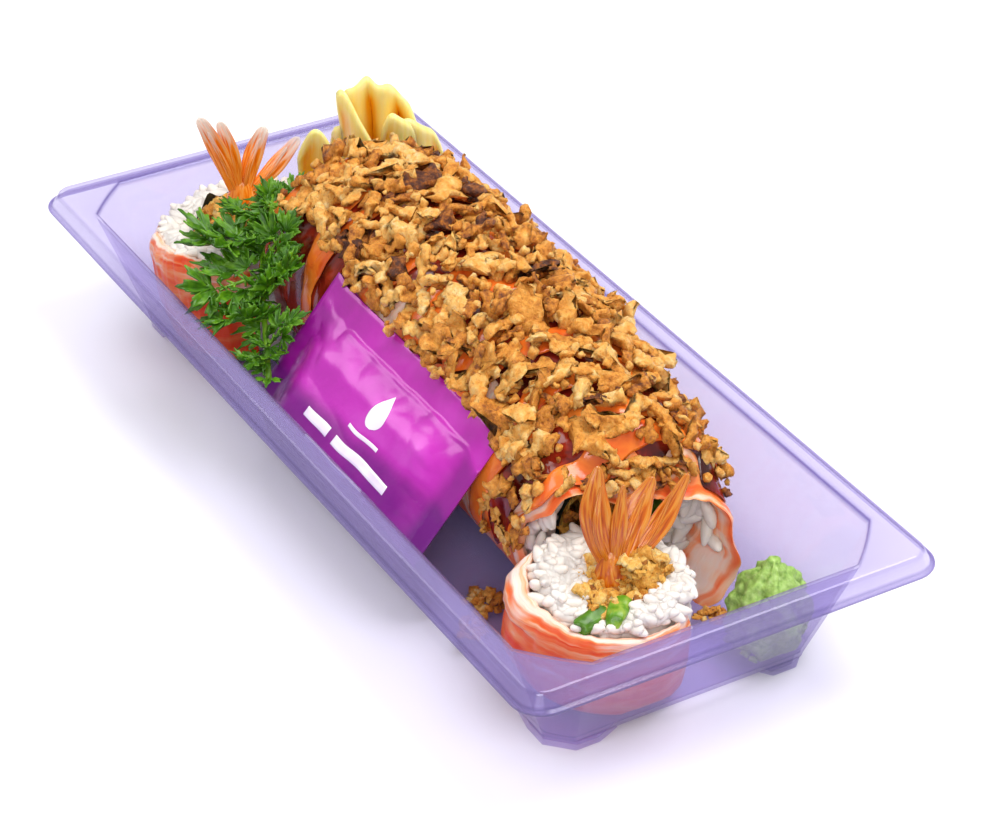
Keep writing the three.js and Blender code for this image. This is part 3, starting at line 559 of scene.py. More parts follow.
# Camera, floor and soft studio light
studio = {
    "camera": (484.59, -291.81, 399.87), "lens": 112.04, "sensor": 36,  # mm
    "right": (0.51680, 0.85578, 0.02355), "up": (-0.49121, 0.27389, 0.82686),
    "back": (0.70116, -0.43889, 0.56191),
    "sky": "#FFFFFF", "skyStrength": 0.45, "aim": (0, 0, 20), "sweep": 8, "below": 0.3,  # sweep in metres
    # place in mm, size in mm, watts
    "lamps": [((120, 260, 760), 600, 6.4), ((620, -420, 520), 420, 2.6), ((-420, -260, 520), 420, 1.2)],
}


def makeStudio():
    scene = bpy.context.scene
    lens = bpy.data.cameras.new("camera")
    lens.sensor_width, lens.lens = studio["sensor"], studio["lens"]
    lens.clip_start, lens.clip_end = 0.01, 20
    camera = showObject("camera", lens)
    axes = Matrix((studio["right"], studio["up"], studio["back"])).transposed()
    camera.matrix_world = Matrix.Translation(Vector(studio["camera"]) * mm) @ axes.normalized().to_4x4()
    scene.camera = camera
    middle = Vector(studio["aim"]) * mm
    for place, size, watts in studio["lamps"]:
        light = bpy.data.lights.new("softbox", "AREA")
        light.shape, light.size, light.energy = "DISK", size * mm, watts
        lamp = showObject("softbox", light)
        lamp.location = Vector(place) * mm
        lamp.rotation_euler = (middle - lamp.location).to_track_quat("-Z", "Y").to_euler()
    sky = bpy.data.worlds.new("sky")
    sky.use_nodes = True
    glow = sky.node_tree.nodes["Background"]
    glow.inputs["Color"].default_value = linear(studio["sky"])
    glow.inputs["Strength"].default_value = studio["skyStrength"]
    scene.world = sky
    scene.view_settings.view_transform = "Standard"
    scene.cycles.transparent_max_bounces = 24
    made = bmesh.new()
    bmesh.ops.create_grid(made, x_segments=8, y_segments=8, size=studio["sweep"])
    bmesh.ops.translate(made, vec=(0, 0, -studio["below"] * mm), verts=made.verts)
    mesh = meshOf("sweep", made)
    mesh.materials.append(floorMaterial())
    showObject("sweep", mesh)


makeStudio()
print("studio done")

# Tray: one thermoformed wall with an octagonal mouth, a flat flange, a flared skirt, a turned lip and feet
tray = {
    "height": 31.9, "wall": 0.6, "footDrop": 2.2, "cornerSteps": 8, "cutRounding": 0.12,
    # half length, half width, corner
    "mouth": (103.4, 42, 10.7), "base": (93.65, 32.25, 4.9), "flange": (107.9, 47, 4.6),
    "skirtDrop": 3.2, "flare": 1.3, "lip": 0.9,
    "footRun": 5.7, "footSlope": 4, "footInset": 0.3, "footDepth": 6.5,
}


def trayRing(outline, z, rounding, grow):
    a, b, corner = outline
    points = []
    for quarter, (sx, sy) in enumerate([(1, 1), (-1, 1), (-1, -1), (1, -1)]):
        start, end = quarter * math.pi / 2, (quarter + 1) * math.pi / 2
        for i in range(tray["cornerSteps"] + 1):
            t = i / tray["cornerSteps"]
            turn = lerp(start, end, t)
            x = lerp(lerp(math.cos(start), math.cos(end), t), math.cos(turn), rounding)
            y = lerp(lerp(math.sin(start), math.sin(end), t), math.sin(turn), rounding)
            size = corner + grow
            points.append(Vector((sx * (a - corner) + size * x, sy * (b - corner) + size * y, z)))
    return points + points[:1]


def footBlock(sx, sy, inset, bottom, top):
    a, b, corner = tray["base"]

    def outline(spread, shrink, z):
        ax, by = a - tray["footInset"] - inset - shrink, b - tray["footInset"] - inset - shrink
        reach = corner + tray["footRun"] + spread - inset
        deep = tray["footDepth"] + spread - 2 * inset
        corners = [
            (ax - reach, by), (ax - corner, by), (ax, by - corner), (ax, by - reach),
            (ax - deep, by - reach), (ax - reach, by - deep),
        ]
        return [Vector((sx * x, sy * y, z)) for x, y in corners + corners[:1]]

    rings = [outline(0, 0.35, bottom), outline(tray["footSlope"], 0, top)]
    return bentTube(6, 1, lambda u, v: rings[round(v)][round(u * 6)])


def plainObject(name, made):
    bmesh.ops.recalc_face_normals(made, faces=made.faces)
    return showObject(name, meshOf(name, made))


def makeTray():
    h, wall, drop = tray["height"], tray["wall"], tray["footDrop"]
    mouth, base, flange, cut = tray["mouth"], tray["base"], tray["flange"], tray["cutRounding"]
    under, skirtFoot, flare = h - wall, h - tray["skirtDrop"], tray["flare"]
    lip = flare + tray["lip"]
    # outline, z, rounding, grow and how dark the crease is, a painted shade line along that bend
    section = [
        (base, drop, cut, -1.8, 0), (base, drop + 0.1, cut, -1.1, 0.1),
        (base, drop + 0.45, cut, -0.45, 0.3), (base, drop + 1.0, cut, -0.1, 0.3),
        (base, drop + 1.8, cut, 0.1, 0), (mouth, h - 2, cut, 0.05, 0), (mouth, h - 1.3, cut, 0.2, 0.15),
        (mouth, under - 0.25, cut, 0.55, 0.3), (mouth, under, cut, 1.1, 0.1),
        (flange, under, 1, -1.2, 0), (flange, under - 0.35, 1, -0.75, 0.2),
        (flange, skirtFoot, 1, flare - wall, 0), (flange, skirtFoot - wall, 1, flare - 0.1, 0.2),
        (flange, skirtFoot - wall, 1, lip, 1), (flange, skirtFoot - 0.3, 1, lip + 0.1, 0.4),
        (flange, skirtFoot, 1, lip, 0), (flange, skirtFoot + 0.2, 1, flare, 0.5),
        (flange, skirtFoot + 0.8, 1, flare - 0.35, 0), (flange, h - 1.0, 1, 0.1, 0),
        (flange, h - 0.45, 1, -0.12, 0.1), (flange, h - 0.12, 1, -0.5, 0.1), (flange, h, 1, -1.0, 0),
        (flange, h, 1, -2.6, 0), (mouth, h, cut, 1.2, 0), (mouth, h - 0.08, cut, 0.6, 0.2),
        (mouth, h - 0.35, cut, 0.15, 1), (mouth, h - 0.7, cut, -0.15, 0.4), (mouth, h - 1.3, cut, -wall, 0),
        (base, drop + 2.1, cut, 0.1 - wall, 0), (base, drop + 1.3, cut, -wall, 0.3),
        (base, drop + wall + 0.35, cut, -wall - 0.5, 0.3),
        (base, drop + wall + 0.08, cut, -wall - 1.1, 0.1), (base, drop + wall, cut, -1.8 - wall, 0),
    ]
    rings = [trayRing(*row[:4]) for row in section]
    last, around = len(rings) - 1, len(rings[0]) - 1
    holder = plainObject("trayShell", bentTube(
        around, last, lambda u, v: rings[round(v * last)][round(u * around)],
        lambda u, v: section[round(v * last)][4],
    ))
    scraps = [holder]
    for sx in (1, -1):
        for sy in (1, -1):
            outside = footBlock(sx, sy, 0, 0, drop + 0.3)
            inside = footBlock(sx, sy, wall + 0.1, wall, drop + wall + 0.4)
            for block, operation in ((outside, "UNION"), (inside, "DIFFERENCE")):
                scraps.append(plainObject("footBlock", block))
                change = holder.modifiers.new("foot", "BOOLEAN")
                change.object, change.operation, change.solver = scraps[-1], operation, "EXACT"
    bpy.context.view_layer.update()
    shaped = holder.evaluated_get(bpy.context.evaluated_depsgraph_get()).to_mesh()
    made = bmesh.new()
    made.from_mesh(shaped)
    for scrap in scraps:
        bpy.data.objects.remove(scrap)
    finishPiece("trayClear", made, clearPlastic, ["tray"], sharp=28, outward=False)


makeTray()
print("tray done")


# Moves what would poke through the tray's wall or floor back inside, to lie against it
def keepInside(made, gap=0.8):
    (a, b, corner), (wideA, wideB, wideCorner) = tray["base"], tray["mouth"]
    for vert in made.verts:
        x, y, z = vert.co
        z = max(z, floorTop)
        t = (z - tray["footDrop"]) / (tray["height"] - tray["footDrop"])
        halfX, halfY, cut = (lerp(p, q, t) for p, q in ((a, wideA), (b, wideB), (corner, wideCorner)))
        rounded = 1.4 * (1 - smooth(z, floorTop, floorTop + 2))  # the foot of the wall is rounded
        inset = tray["wall"] + gap + rounded
        halfX, halfY = halfX - inset, halfY - inset
        x, y = max(-halfX, min(halfX, x)), max(-halfY, min(halfY, y))
        over = max(0, abs(x) + abs(y) - (halfX + halfY - cut)) / 2
        vert.co = (x - math.copysign(over, x), y - math.copysign(over, y), z)


# Long roll: rice round nori and fried prawn, under a sheet of crab stick that runs on past its front end
roll = {
    "from": -58, "to": 58, "skew": 0.2, "skewFrom": 20, "filling": 11.6, "nori": 0.5, "surimi": 2.2,
    "knots": [(-58, 8.5, 21.2), (-40, 8.4, 22), (20, 6.4, 22), (58, 3.5, 19.2)],  # x, y, radius
}
drape = {
    "from": -55, "to": 228, "columns": 150, "rows": 66,  # degrees round the roll, then the grid
    "front": 68, "rightFront": 67.5, "leftFront": 60, "thin": 1.9, "edgeWave": 1.3, "sag": 10, "curl": 6.2,
}


# Column 1 of the knots is y, 2 is the radius
def alongKnots(x, column):
    knots = roll["knots"]
    for a, b in zip(knots, knots[1:]):
        if x <= b[0] or b is knots[-1]:
            return lerp(a[column], b[column], (x - a[0]) / (b[0] - a[0]))


# Angle 0 is +Y, 90 is up; the underside spreads to the floor
def rollPoint(x, radius, degrees):
    turn = math.radians(degrees)
    reach = radius + max(0, -math.sin(turn)) ** 8 * roll["surimi"]
    across = reach * math.cos(turn)
    z = floorTop - air + alongKnots(x, 2) + roll["surimi"] + reach * math.sin(turn)
    tapered = max(0, (x - roll["skewFrom"]) / (roll["to"] - roll["skewFrom"]))
    return Vector((x + roll["skew"] * across * tapered, alongKnots(x, 1) + across, max(z, floorTop)))


# A point over the roll's rice; past its front end the sheet sags on top and flares at its right foot
def drapePoint(x, degrees, offset):
    inside, loose = min(x, roll["to"]), smooth(x, roll["to"] + 0.5, drape["front"])
    sag = smooth(degrees, -10, 60) * (1 - smooth(degrees, 112, 138))
    flare = smooth(-degrees, 8, 36)
    lift = smooth(degrees, 125, 145) * (1 - smooth(degrees, 165, 190))
    shift = loose * (drape["curl"] * flare + 1.2 * lift - drape["sag"] * sag)
    radius = alongKnots(inside, 2) + air + offset + shift
    point = rollPoint(inside, radius, degrees)
    point.x += x - inside
    point.z = max(point.z, floorTop + (0 if offset > 0.1 else 1.4))
    return point


def drapeFront(degrees):
    right = lerp(drape["rightFront"], drape["front"], smooth(degrees, 20, 80))
    return lerp(right, drape["leftFront"], smooth(degrees, 142, 175))


def outwardAt(x, degrees):
    return (drapePoint(x, degrees, 5) - drapePoint(x, degrees, 1)).normalized()


# v goes along the outside to the front edge and back along the inside
def makeDrape():
    def place(u, v):
        degrees, t = lerp(drape["from"], drape["to"], u), outAndBack(v)
        front = drapeFront(degrees) + drape["edgeWave"] * bumps(degrees / 9, 0, 5, 1)
        x = lerp(roll["from"], front, t ** 0.55)
        strand = 0.28 * bumps(x * 1.5, degrees / 16, 3, 1.1) + 0.3 * bumps(x, degrees / 4, 9, 4)
        thick = lerp(roll["surimi"], drape["thin"], smooth(x, 60, 67)) * math.sqrt(min(1, (1 - t) * 40))
        thick *= math.sqrt(min(1, 60 * min(u, 1 - u))) * math.sqrt(min(1, t * 40))
        side = 1 if v < 0.5 else -1
        return drapePoint(x, degrees, roll["surimi"] / 2 + side * thick / 2 + strand)

    def tone(u, v):
        streak = smooth(bumps(u * 34, 3, v * 2, 1), 0.12, 0.4) * (1 - smooth(v, 0.56, 0.72))
        return max(1 - smooth(v + 0.006 * bumps(u * 50, 1, 1, 1), 0.5, 0.52), 0.75 * streak)

    made = bentShell(drape["columns"], drape["rows"] * 2, place, tone)
    finishPiece("rollCrabStick", made, crabStick, ["roll_surimi"], sharp=70)


makeDrape()


# Rice grains are swollen, a little bent and blunt at one end
grain = {"half": (3.5, 1.6, 1.4), "blunt": 0.18, "bend": 0.5, "segments": 10, "rings": 7}


def grainShape():
    made = bmesh.new()
    bmesh.ops.create_uvsphere(made, u_segments=grain["segments"], v_segments=grain["rings"], radius=1)
    bmesh.ops.rotate(made, cent=(0, 0, 0), matrix=Matrix.Rotation(math.pi / 2, 3, "Y"), verts=made.verts)
    long, wide, high = grain["half"]
    for vert in made.verts:
        x, y, z = vert.co
        blunt = 1 - grain["blunt"] * smooth(x, -0.2, 1)
        vert.co = (x * long, y * wide * blunt, z * high * blunt + grain["bend"] * x * x)
    return baseShape(made)


riceGrain = grainShape()


def layGrain(heap, draw, spot, outward, heading):
    size = [lerp(0.86, 1.08, draw.random()) for _ in range(3)]
    addCopy(heap, riceGrain, stood(spot, outward, heading, draw.uniform(-0.35, 0.35), size), 0)


# Bumps of a grain's size on the core, so that it reads as packed rice between the loose grains
def packed(point, amount):
    return amount * (creases(*point, 2.6) - 0.5)


# The hole for the filling, and how many grains lie on the front, on the back and inside the loose sheet,
# where more of them stick at its left
rollEnds = {
    "inner": 12.7, "front": 60, "back": 95, "stuck": 22,
    "stuckAlong": (58.5, 64), "stuckSides": ((-26, 8), (150, 186), (150, 186)),
}


def makeRollRice():
    inner, draw = rollEnds["inner"], random.Random(12)
    # along from the back end (-1) to the front (1), and out from the hole (0) to the rim (1)
    stops = [(-1, 0), (-1, 1), (-0.85, 1), (-0.4, 1), (0.3, 1), (0.8, 1), (1, 1), (1, 0)]

    def place(u, v):
        along, out = spline(stops, v)
        x = lerp(roll["from"] + 0.6, roll["to"] - 0.6, (along + 1) / 2)
        point = rollPoint(x, lerp(inner + 0.3, alongKnots(x, 2) - 0.5, out), 360 * u)
        if abs(along) == 1:
            point.x += math.copysign(packed(point, 1.1), along)
        return point

    core = bentShell(120, 56, place)
    bmesh.ops.bridge_loops(core, edges=openEdges(core))
    for x, count, way in ((roll["to"], rollEnds["front"], 1), (roll["from"], rollEnds["back"], -1)):
        for i in range(count):
            radius = lerp(inner + 1.2, alongKnots(x, 2) - 1.8, draw.random())
            spot = rollPoint(x, radius, i * goldenAngle)
            spot.x += way * draw.uniform(-0.6, 0.9)
            if spot.z > floorTop + 1.6:
                outward = Vector((way, 0.2 * draw.uniform(-1, 1), 0))
                layGrain(core, draw, spot, outward, anyTurn(draw))
    for _ in range(rollEnds["stuck"]):
        x = draw.uniform(*rollEnds["stuckAlong"])
        degrees = draw.choice([draw.uniform(*side) for side in rollEnds["stuckSides"]])
        layGrain(core, draw, drapePoint(x, degrees, -0.9), -outwardAt(x, degrees), anyTurn(draw))
    finishPiece("rollRice", core, cookedRice, ["roll_rice"])


makeRollRice()


def makeRollNori():
    outer, inner = roll["filling"] + roll["nori"] + air, roll["filling"] + air

    def place(u, v):
        x = lerp(roll["from"] - 0.3, roll["to"] + 0.3, min(1, 2 * v) if v < 0.5 else 2 - 2 * v)
        x += 0.5 * bumps(u * 40, x, 2, 3)
        return rollPoint(x, outer if v < 0.5 else inner, 360 * u)

    made = bentShell(72, 24, place)
    bmesh.ops.bridge_loops(made, edges=openEdges(made))
    finishPiece("rollNori", made, roastedNori, ["roll_nori"], sharp=50)


makeRollNori()
print("roll done")

# The two end pieces stand on end: rice round nori and fried prawn, half wrapped in crab stick
frontPiece = {
    "foot": (74.6, -7.8), "top": (77.4, -9.6), "height": 22.6, "lean": (-0.09, 0.05),
    "rice": 16.3, "footScale": 0.92, "filling": 8.2, "nori": 0.5, "surimi": 3.1,
    # where the wrap lies, in degrees, and how it stands off
    "wrap": (-151, 27), "skirt": 2.6, "flare": 0.8, "fold": 2.0,
    # the grains' own: on top and round the side, how high they heap, and how far they keep off the nori
    "seed": 13, "grains": (120, 100), "heap": 0.8, "bare": 0.9,
    "crown": 1.2, "proud": 0,  # how far the batter and the nori rise over the face
    # angles, reach from the axis, height over the face, count
    "batter": [
        (18, 80, (4, 10.5), (1.4, 4.4), 22), (-76, 10, (7.6, 12), (0.8, 2.2), 17),
        (22, 64, (3, 6.5), (3, 6.5), 9),
    ],
    # more rice heaped between two angles, its reach from the axis, how high, how many grains
    "mounds": [(-176, -66, (4.5, 15.4), 2.8, 46), (-34, 52, (9, 15.8), 2.4, 34)],
}
backPiece = {
    "foot": (-75.2, -12), "top": (-77.2, -13.6), "height": 27, "lean": (0.09, 0.14),
    "rice": 17.4, "footScale": 0.88, "filling": 9.4, "nori": 0.6, "surimi": 2.7,
    "wrap": (-128, -20), "skirt": 0.4, "flare": 0.5, "fold": 0.6,
    "seed": 29, "grains": (120, 140), "heap": 0.35, "bare": 2.6,
    "crown": 2.6, "proud": 3.4,
    "batter": [(170, 270, (3.5, 7), (1.6, 3), 10)],
    "mounds": [],
}


# r from the piece's axis at an angle, t from its foot (0) to its cut face (1)
def standing(piece, r, degrees, t, rise=0):
    scale = lerp(piece["footScale"], 1, math.sqrt(max(0, t)))
    dx, dy = (r * scale * f(math.radians(degrees)) for f in (math.cos, math.sin))
    tilted = piece["lean"][0] * dx + piece["lean"][1] * dy
    x, y = (lerp(piece["foot"][i], piece["top"][i], t) for i in (0, 1))
    return Vector((x + dx, y + dy, floorTop + t * (piece["height"] + tilted) + rise))


def makeRiceOf(name, piece, node):
    inner, outer = piece["filling"] + piece["nori"] + 2 * air, piece["rice"]
    draw = random.Random(piece["seed"])
    # reach from the axis, share of the height, rise in mm
    profile = [
        (inner, 0, 0.3), (outer - 1.2, 0, 0.3), (outer - 0.8, 0.06, 0), (outer - 0.7, 0.4, 0),
        (outer - 0.7, 0.8, 0), (outer - 1, 0.97, -0.4), (outer - 2, 1, -0.1), ((inner + outer) / 2, 1, 0.3),
        (inner + 1, 1, -0.1), (inner, 0.97, -0.4), (inner, 0.6, 0), (inner, 0.3, 0), (inner, 0, 0.3),
    ]

    def mound(r, degrees):
        rise = 0
        for start, end, (near, far), high, _ in piece["mounds"]:
            across, part = ((degrees - start) % 360) / (end - start), (r - near) / (far - near)
            if 0 < across < 1 and 0 < part < 1:
                rise = high * math.sin(math.pi * across) ** 0.6 * math.sin(math.pi * part) ** 0.6
        return rise

    def place(u, v):
        r, t, rise = spline(profile, v)
        if t == 1:
            rise += 0.8 * mound(r, 360 * u)
        point = standing(piece, r, 360 * u, t, rise)
        if t > 0.05 and r > inner + 0.3:
            away = (point - standing(piece, 0, 0, t)).normalized()
            point += (away if t < 0.95 else Vector((0, 0, 1))) * packed(point, 0.9)
        return point

    core = bentShell(96, 60, place)
    topCount, sideCount = piece["grains"]

    def topGrain(spot):
        outward = Vector((draw.uniform(-0.35, 0.35), draw.uniform(-0.35, 0.35), 1))
        layGrain(core, draw, spot, outward.normalized(), anyTurn(draw))

    for i in range(topCount):
        degrees, layer = i * goldenAngle, (i % 3) / 3
        r = lerp(inner + piece["bare"], outer - 0.9, draw.random() ** 0.8)
        lump = max(0, bumps(degrees / 40, r / 5, piece["seed"], 1))
        heaped = (1.4 * lump + 1.1 * layer) * piece["heap"]
        topGrain(standing(piece, r, degrees, 1, max(heaped, mound(r, degrees)) - 0.6))
    for start, end, (near, far), high, count in piece["mounds"]:
        for i in range(count):
            r, degrees = lerp(near, far, draw.random() ** 0.8), lerp(start, end, (i * goldenStep) % 1)
            topGrain(standing(piece, r, degrees, 1, mound(r, degrees) - 0.5))
    free = piece["wrap"][1] + 4, piece["wrap"][0] + 356  # the side that the wrap leaves bare
    for i in range(sideCount):
        degrees, t = lerp(*free, (i * goldenStep) % 1), lerp(0.1, 0.93, draw.random())
        spot = standing(piece, outer - 1.2 + draw.uniform(-0.3, 0.3), degrees, t)
        away = (spot - standing(piece, 0, 0, t)).normalized()
        layGrain(core, draw, spot, away, anyTurn(draw))
    finishPiece(name, core, cookedRice, [node])


def makeNoriOf(name, piece, node):
    inner = piece["filling"] + air

    def place(u, v):
        t = min(1, 2 * v) if v < 0.5 else 2 - 2 * v
        torn = 0.9 * bumps(u * 30, v, piece["seed"], 2) + piece["proud"] * (0.6 + bumps(u * 16, 1, 3, 1))
        ragged = t ** 6 * torn
        return standing(piece, inner + (piece["nori"] if v < 0.5 else 0), 360 * u, t, 0.5 * t + ragged)

    made = bentShell(72, 20, place)
    bmesh.ops.bridge_loops(made, edges=openEdges(made))
    finishPiece(name, made, roastedNori, [node], sharp=50)


# The wrap's outside is dyed, its rolled top edge and inside are white
def makeWrapOf(name, piece, node):
    inner = piece["rice"] + air
    start, end = piece["wrap"]

    def place(u, v):
        degrees = lerp(start, end, u)
        thin = 1 - 0.45 * smooth(abs(u - 0.5), 0.3, 0.5)
        out = inner + piece["surimi"] * thin
        folded = piece["fold"] * smooth(u, 0.02, 0.1) * (1 - smooth(u, 0.26, 0.5))
        lift = piece["flare"] * math.sin(math.pi * u + 0.6) + 0.8 * bumps(u * 9, 1, piece["seed"], 1)
        skirt = 0.6 + piece["skirt"] * math.sin(math.pi * min(1, 2 * u)) ** 2
        strands = 0.3 * bumps(u * 60, v * 5, piece["seed"], 1.5)
        fold = 0.5 * bumps(u * 26, v * 3, piece["seed"] + 3, 1.6) + strands
        profile = [
            (inner, 0, 0), (out, 0, 0), (out + 0.55 * skirt, 0.2, 0), (out + skirt, 0.4, 0),
            (out + 0.8 * skirt, 0.6, 0), (out + 0.3 + 0.3 * skirt, 0.78, 0),
            (out + 0.1 + folded, 0.9, lift * 0.5 - folded),
            (out - 0.3 + folded, 0.97, lift - 0.7 - folded * 0.6),
            (out - 0.9 + folded * 0.6, 1, lift + 0.1 - folded * 0.4),
            (lerp(inner, out, 0.45), 1, lift + 0.25), (inner + 0.3, 1, lift - 0.2),
            (inner, 0.97, lift - 0.6), (inner, 0.7, 0), (inner, 0.35, 0), (inner, 0, 0),
        ]
        r, t, rise = spline(profile, v)
        proud = smooth(v, 0.08, 0.2) * (1 - smooth(v, 0.75, 0.85))
        return standing(piece, r + fold * proud, degrees, t, rise)

    def tone(u, v):
        streak = 0.12 * bumps(u * 12, v * 2, piece["seed"], 1)
        deep = 1 - smooth(v, 0.2, 0.4)
        return smooth(v, 0.02, 0.08) * (1 - smooth(v + streak, 0.5, 0.6)) * (1 + 0.9 * deep)

    made = bentTube(110, 70, place, tone, (0.6, 0.3))
    keepInside(made)
    finishPiece(name, made, crabStick, [node], sharp=70)


# Flakes of fried onion: curled crusty ribbons, lumpy along their edges. Crumbs: small craggy lumps
flake = {
    "kinds": 12, "length": 9.6, "width": 4.2, "thick": 1.9, "around": 11, "along": 15,
    "lumps": [(2.0, 1.1), (0.8, 0.35)],  # size and depth of its crags
}
crumb = {
    "kinds": 6, "size": 1.0, "rough": 0.85,
    "onPiece": 90, "onRoll": 60, "onWasabi": 26,  # how many lie on each cut filling and on the wasabi
}


def flakeShape(seed):
    draw = random.Random(seed)
    curl, twist, wave = draw.uniform(-3.0, 3.0), draw.uniform(-1.2, 1.2), draw.uniform(-0.8, 0.8)
    length, width = flake["length"] * draw.uniform(0.75, 1.15), flake["width"] * draw.uniform(0.7, 1.25)

    def place(u, v):
        s = v - 0.5
        bend = curl * s + wave * math.sin(2 * math.pi * v)
        # along an arc of the same length
        arc, rise = length * math.sin(curl * s) / curl, length * (math.cos(curl * s) - 1) / curl
        spot = Vector((arc, rise * -0.6, wave * 2 * s * s))
        turn, rolled = 2 * math.pi * u, twist * s * 2
        ragged = 1 + 0.7 * bumps(v * 9, seed * 3, 1 + (u > 0.5), 1.4)
        cap = math.sqrt(max(0, 1 - abs(2 * s) ** 5))
        across, up = width / 2 * ragged * cap * math.cos(turn), flake["thick"] / 2 * cap * math.sin(turn)
        up += 0.25 * across * across / width * (1 if seed % 2 else -1)
        side = across * math.cos(rolled) - up * math.sin(rolled)
        high = across * math.sin(rolled) + up * math.cos(rolled)
        return spot + Vector((-math.sin(bend) * side, math.cos(bend) * side, high))

    made = bentTube(flake["around"], flake["along"], place)
    for vert in made.verts:
        x, y, z = vert.co + Vector((seed * 13, 0, 0))
        for size, depth in flake["lumps"]:
            vert.co += Vector((bumps(x, y, z, size), bumps(y, z, x, size), bumps(z, x, y, size))) * depth
    return baseShape(made)


def crumbShape(seed):
    made = bmesh.new()
    bmesh.ops.create_icosphere(made, subdivisions=2, radius=crumb["size"])
    for vert in made.verts:
        x, y, z = vert.co
        vert.co *= 1 + crumb["rough"] * bumps(x + seed * 5, y, z, 0.8)
    return baseShape(made)


flakes = [flakeShape(seed) for seed in range(1, flake["kinds"] + 1)]
crumbs = [crumbShape(seed) for seed in range(1, crumb["kinds"] + 1)]


# How brown a bit is: most are golden, a few pale or dark
def drawTone(draw):
    pick = draw.random()
    if pick < 0.06:
        return -0.38
    return draw.uniform(-0.2, -0.04) if pick < 0.3 else draw.uniform(-0.02, 0.28)


# Lays one of some kinds of bit, turned any way and tilted either way by up to a given angle
def layBit(heap, draw, kinds, spot, outward, tilt, sizes, lighter=0):
    placed = stood(spot, outward, anyTurn(draw), draw.uniform(-tilt, tilt), sizes)
    addCopy(heap, draw.choice(kinds), placed, drawTone(draw) + lighter)


def makeFillingOf(name, piece, node):
    draw, crown, reach = random.Random(piece["seed"] * 3), piece["crown"], piece["filling"]
    profile = [
        (0, 0, 0), (reach, 0, 0), (reach, 0.5, 0), (reach, 0.9, 0), (reach * 0.95, 1, crown * 0.2),
        (reach * 0.6, 1, crown * 0.65), (0, 1, crown * 0.75),
    ]

    def place(u, v):
        r, t, rise = spline(profile, v)
        dent = 0.5 * bumps(u * 14, v * 8, piece["seed"], 1)
        return standing(piece, max(0, r - abs(dent) * smooth(r, 0, 2)), 360 * u, t, rise + dent * t)

    core = bentShell(40, 30, place)
    for i in range(crumb["onPiece"]):
        r = reach * draw.random() ** 0.6 * 0.98
        domed = crown * (1 - (r / reach) ** 2)
        spot = standing(piece, r, i * goldenAngle, 1, domed * draw.uniform(0.3, 1) + 0.4)
        outward = Vector((draw.uniform(-1, 1), draw.uniform(-1, 1), 1)).normalized()
        size = draw.uniform(0.8, 1.9)
        shape = draw.choice(crumbs)
        sizes = (size * draw.uniform(0.8, 1.5), size, size * draw.uniform(0.7, 1.1))
        if i % 5 == 0:
            shape, sizes = draw.choice(flakes), (draw.uniform(0.4, 0.65),) * 3
        placed = stood(spot, outward, anyTurn(draw), draw.uniform(-0.8, 0.8), sizes)
        addCopy(core, shape, placed, drawTone(draw) + 0.06)
    for start, end, (near, far), (low, high), count in piece["batter"]:  # flakes that lie over the rice
        for i in range(count):
            degrees = lerp(start, end, (i * goldenStep) % 1)
            spot = standing(piece, draw.uniform(near, far), degrees, 1, draw.uniform(low, high))
            outward = Vector((draw.uniform(-0.6, 0.9), draw.uniform(-0.8, 0.4), 1)).normalized()
            size = draw.uniform(0.45, 0.85)
            layBit(core, draw, flakes, spot, outward, 0.6, (size, size * 1.1, size * 1.2), 0.08)
    finishPiece(name, core, friedBatter, [node])


# Prawn tails: a fan of blades with a midrib, on the last joint of the shell
frontTail = {
    "base": (77.6, -10.2, 32.4), "neck": (1.2, -0.2, -9), "across": (0.85, -0.5, 0.2),
    "clear": (-0.05, 0.4), "taper": 0.6,  # how clear a blade is at its root and at its tip
    # tip, width and bow of each blade
    "blades": [
        ((71.6, -10.2, 50), 6.6, (0, -2, 0)), ((75.6, -6.8, 47), 3.6, (1, -0.6, 0)),
        ((73.4, 2, 44.6), 6.4, (0, -0.6, 0.6)), ((71.8, 11.6, 41.4), 5, (0, 0.6, -2.2)),
    ],
}
backTail = {
    "base": (-79.2, -11.4, 38.4), "neck": (0.3, -0.4, -9.6), "across": (0.85, -0.5, 0.15),
    "clear": (-0.3, 1.0), "taper": 0.35,
    "blades": [
        ((-79, -22, 58.2), 4.5, (0, 0.5, 0.4)), ((-79.6, -16.6, 55.6), 4, (0.6, 0.6, 0)),
        ((-79, -5, 51.6), 4.6, (0, -0.8, 0.3)), ((-78.6, 3.6, 46.8), 4.2, (0, -0.4, -1)),
    ],
}
# Half the width and half the thickness of the last joint, from its end down
neckSizes = [(0, 0), (1.9, 1.1), (2.8, 1.8), (3.4, 2.5), (3.8, 3), (3.9, 3.2), (3.7, 3.1)]


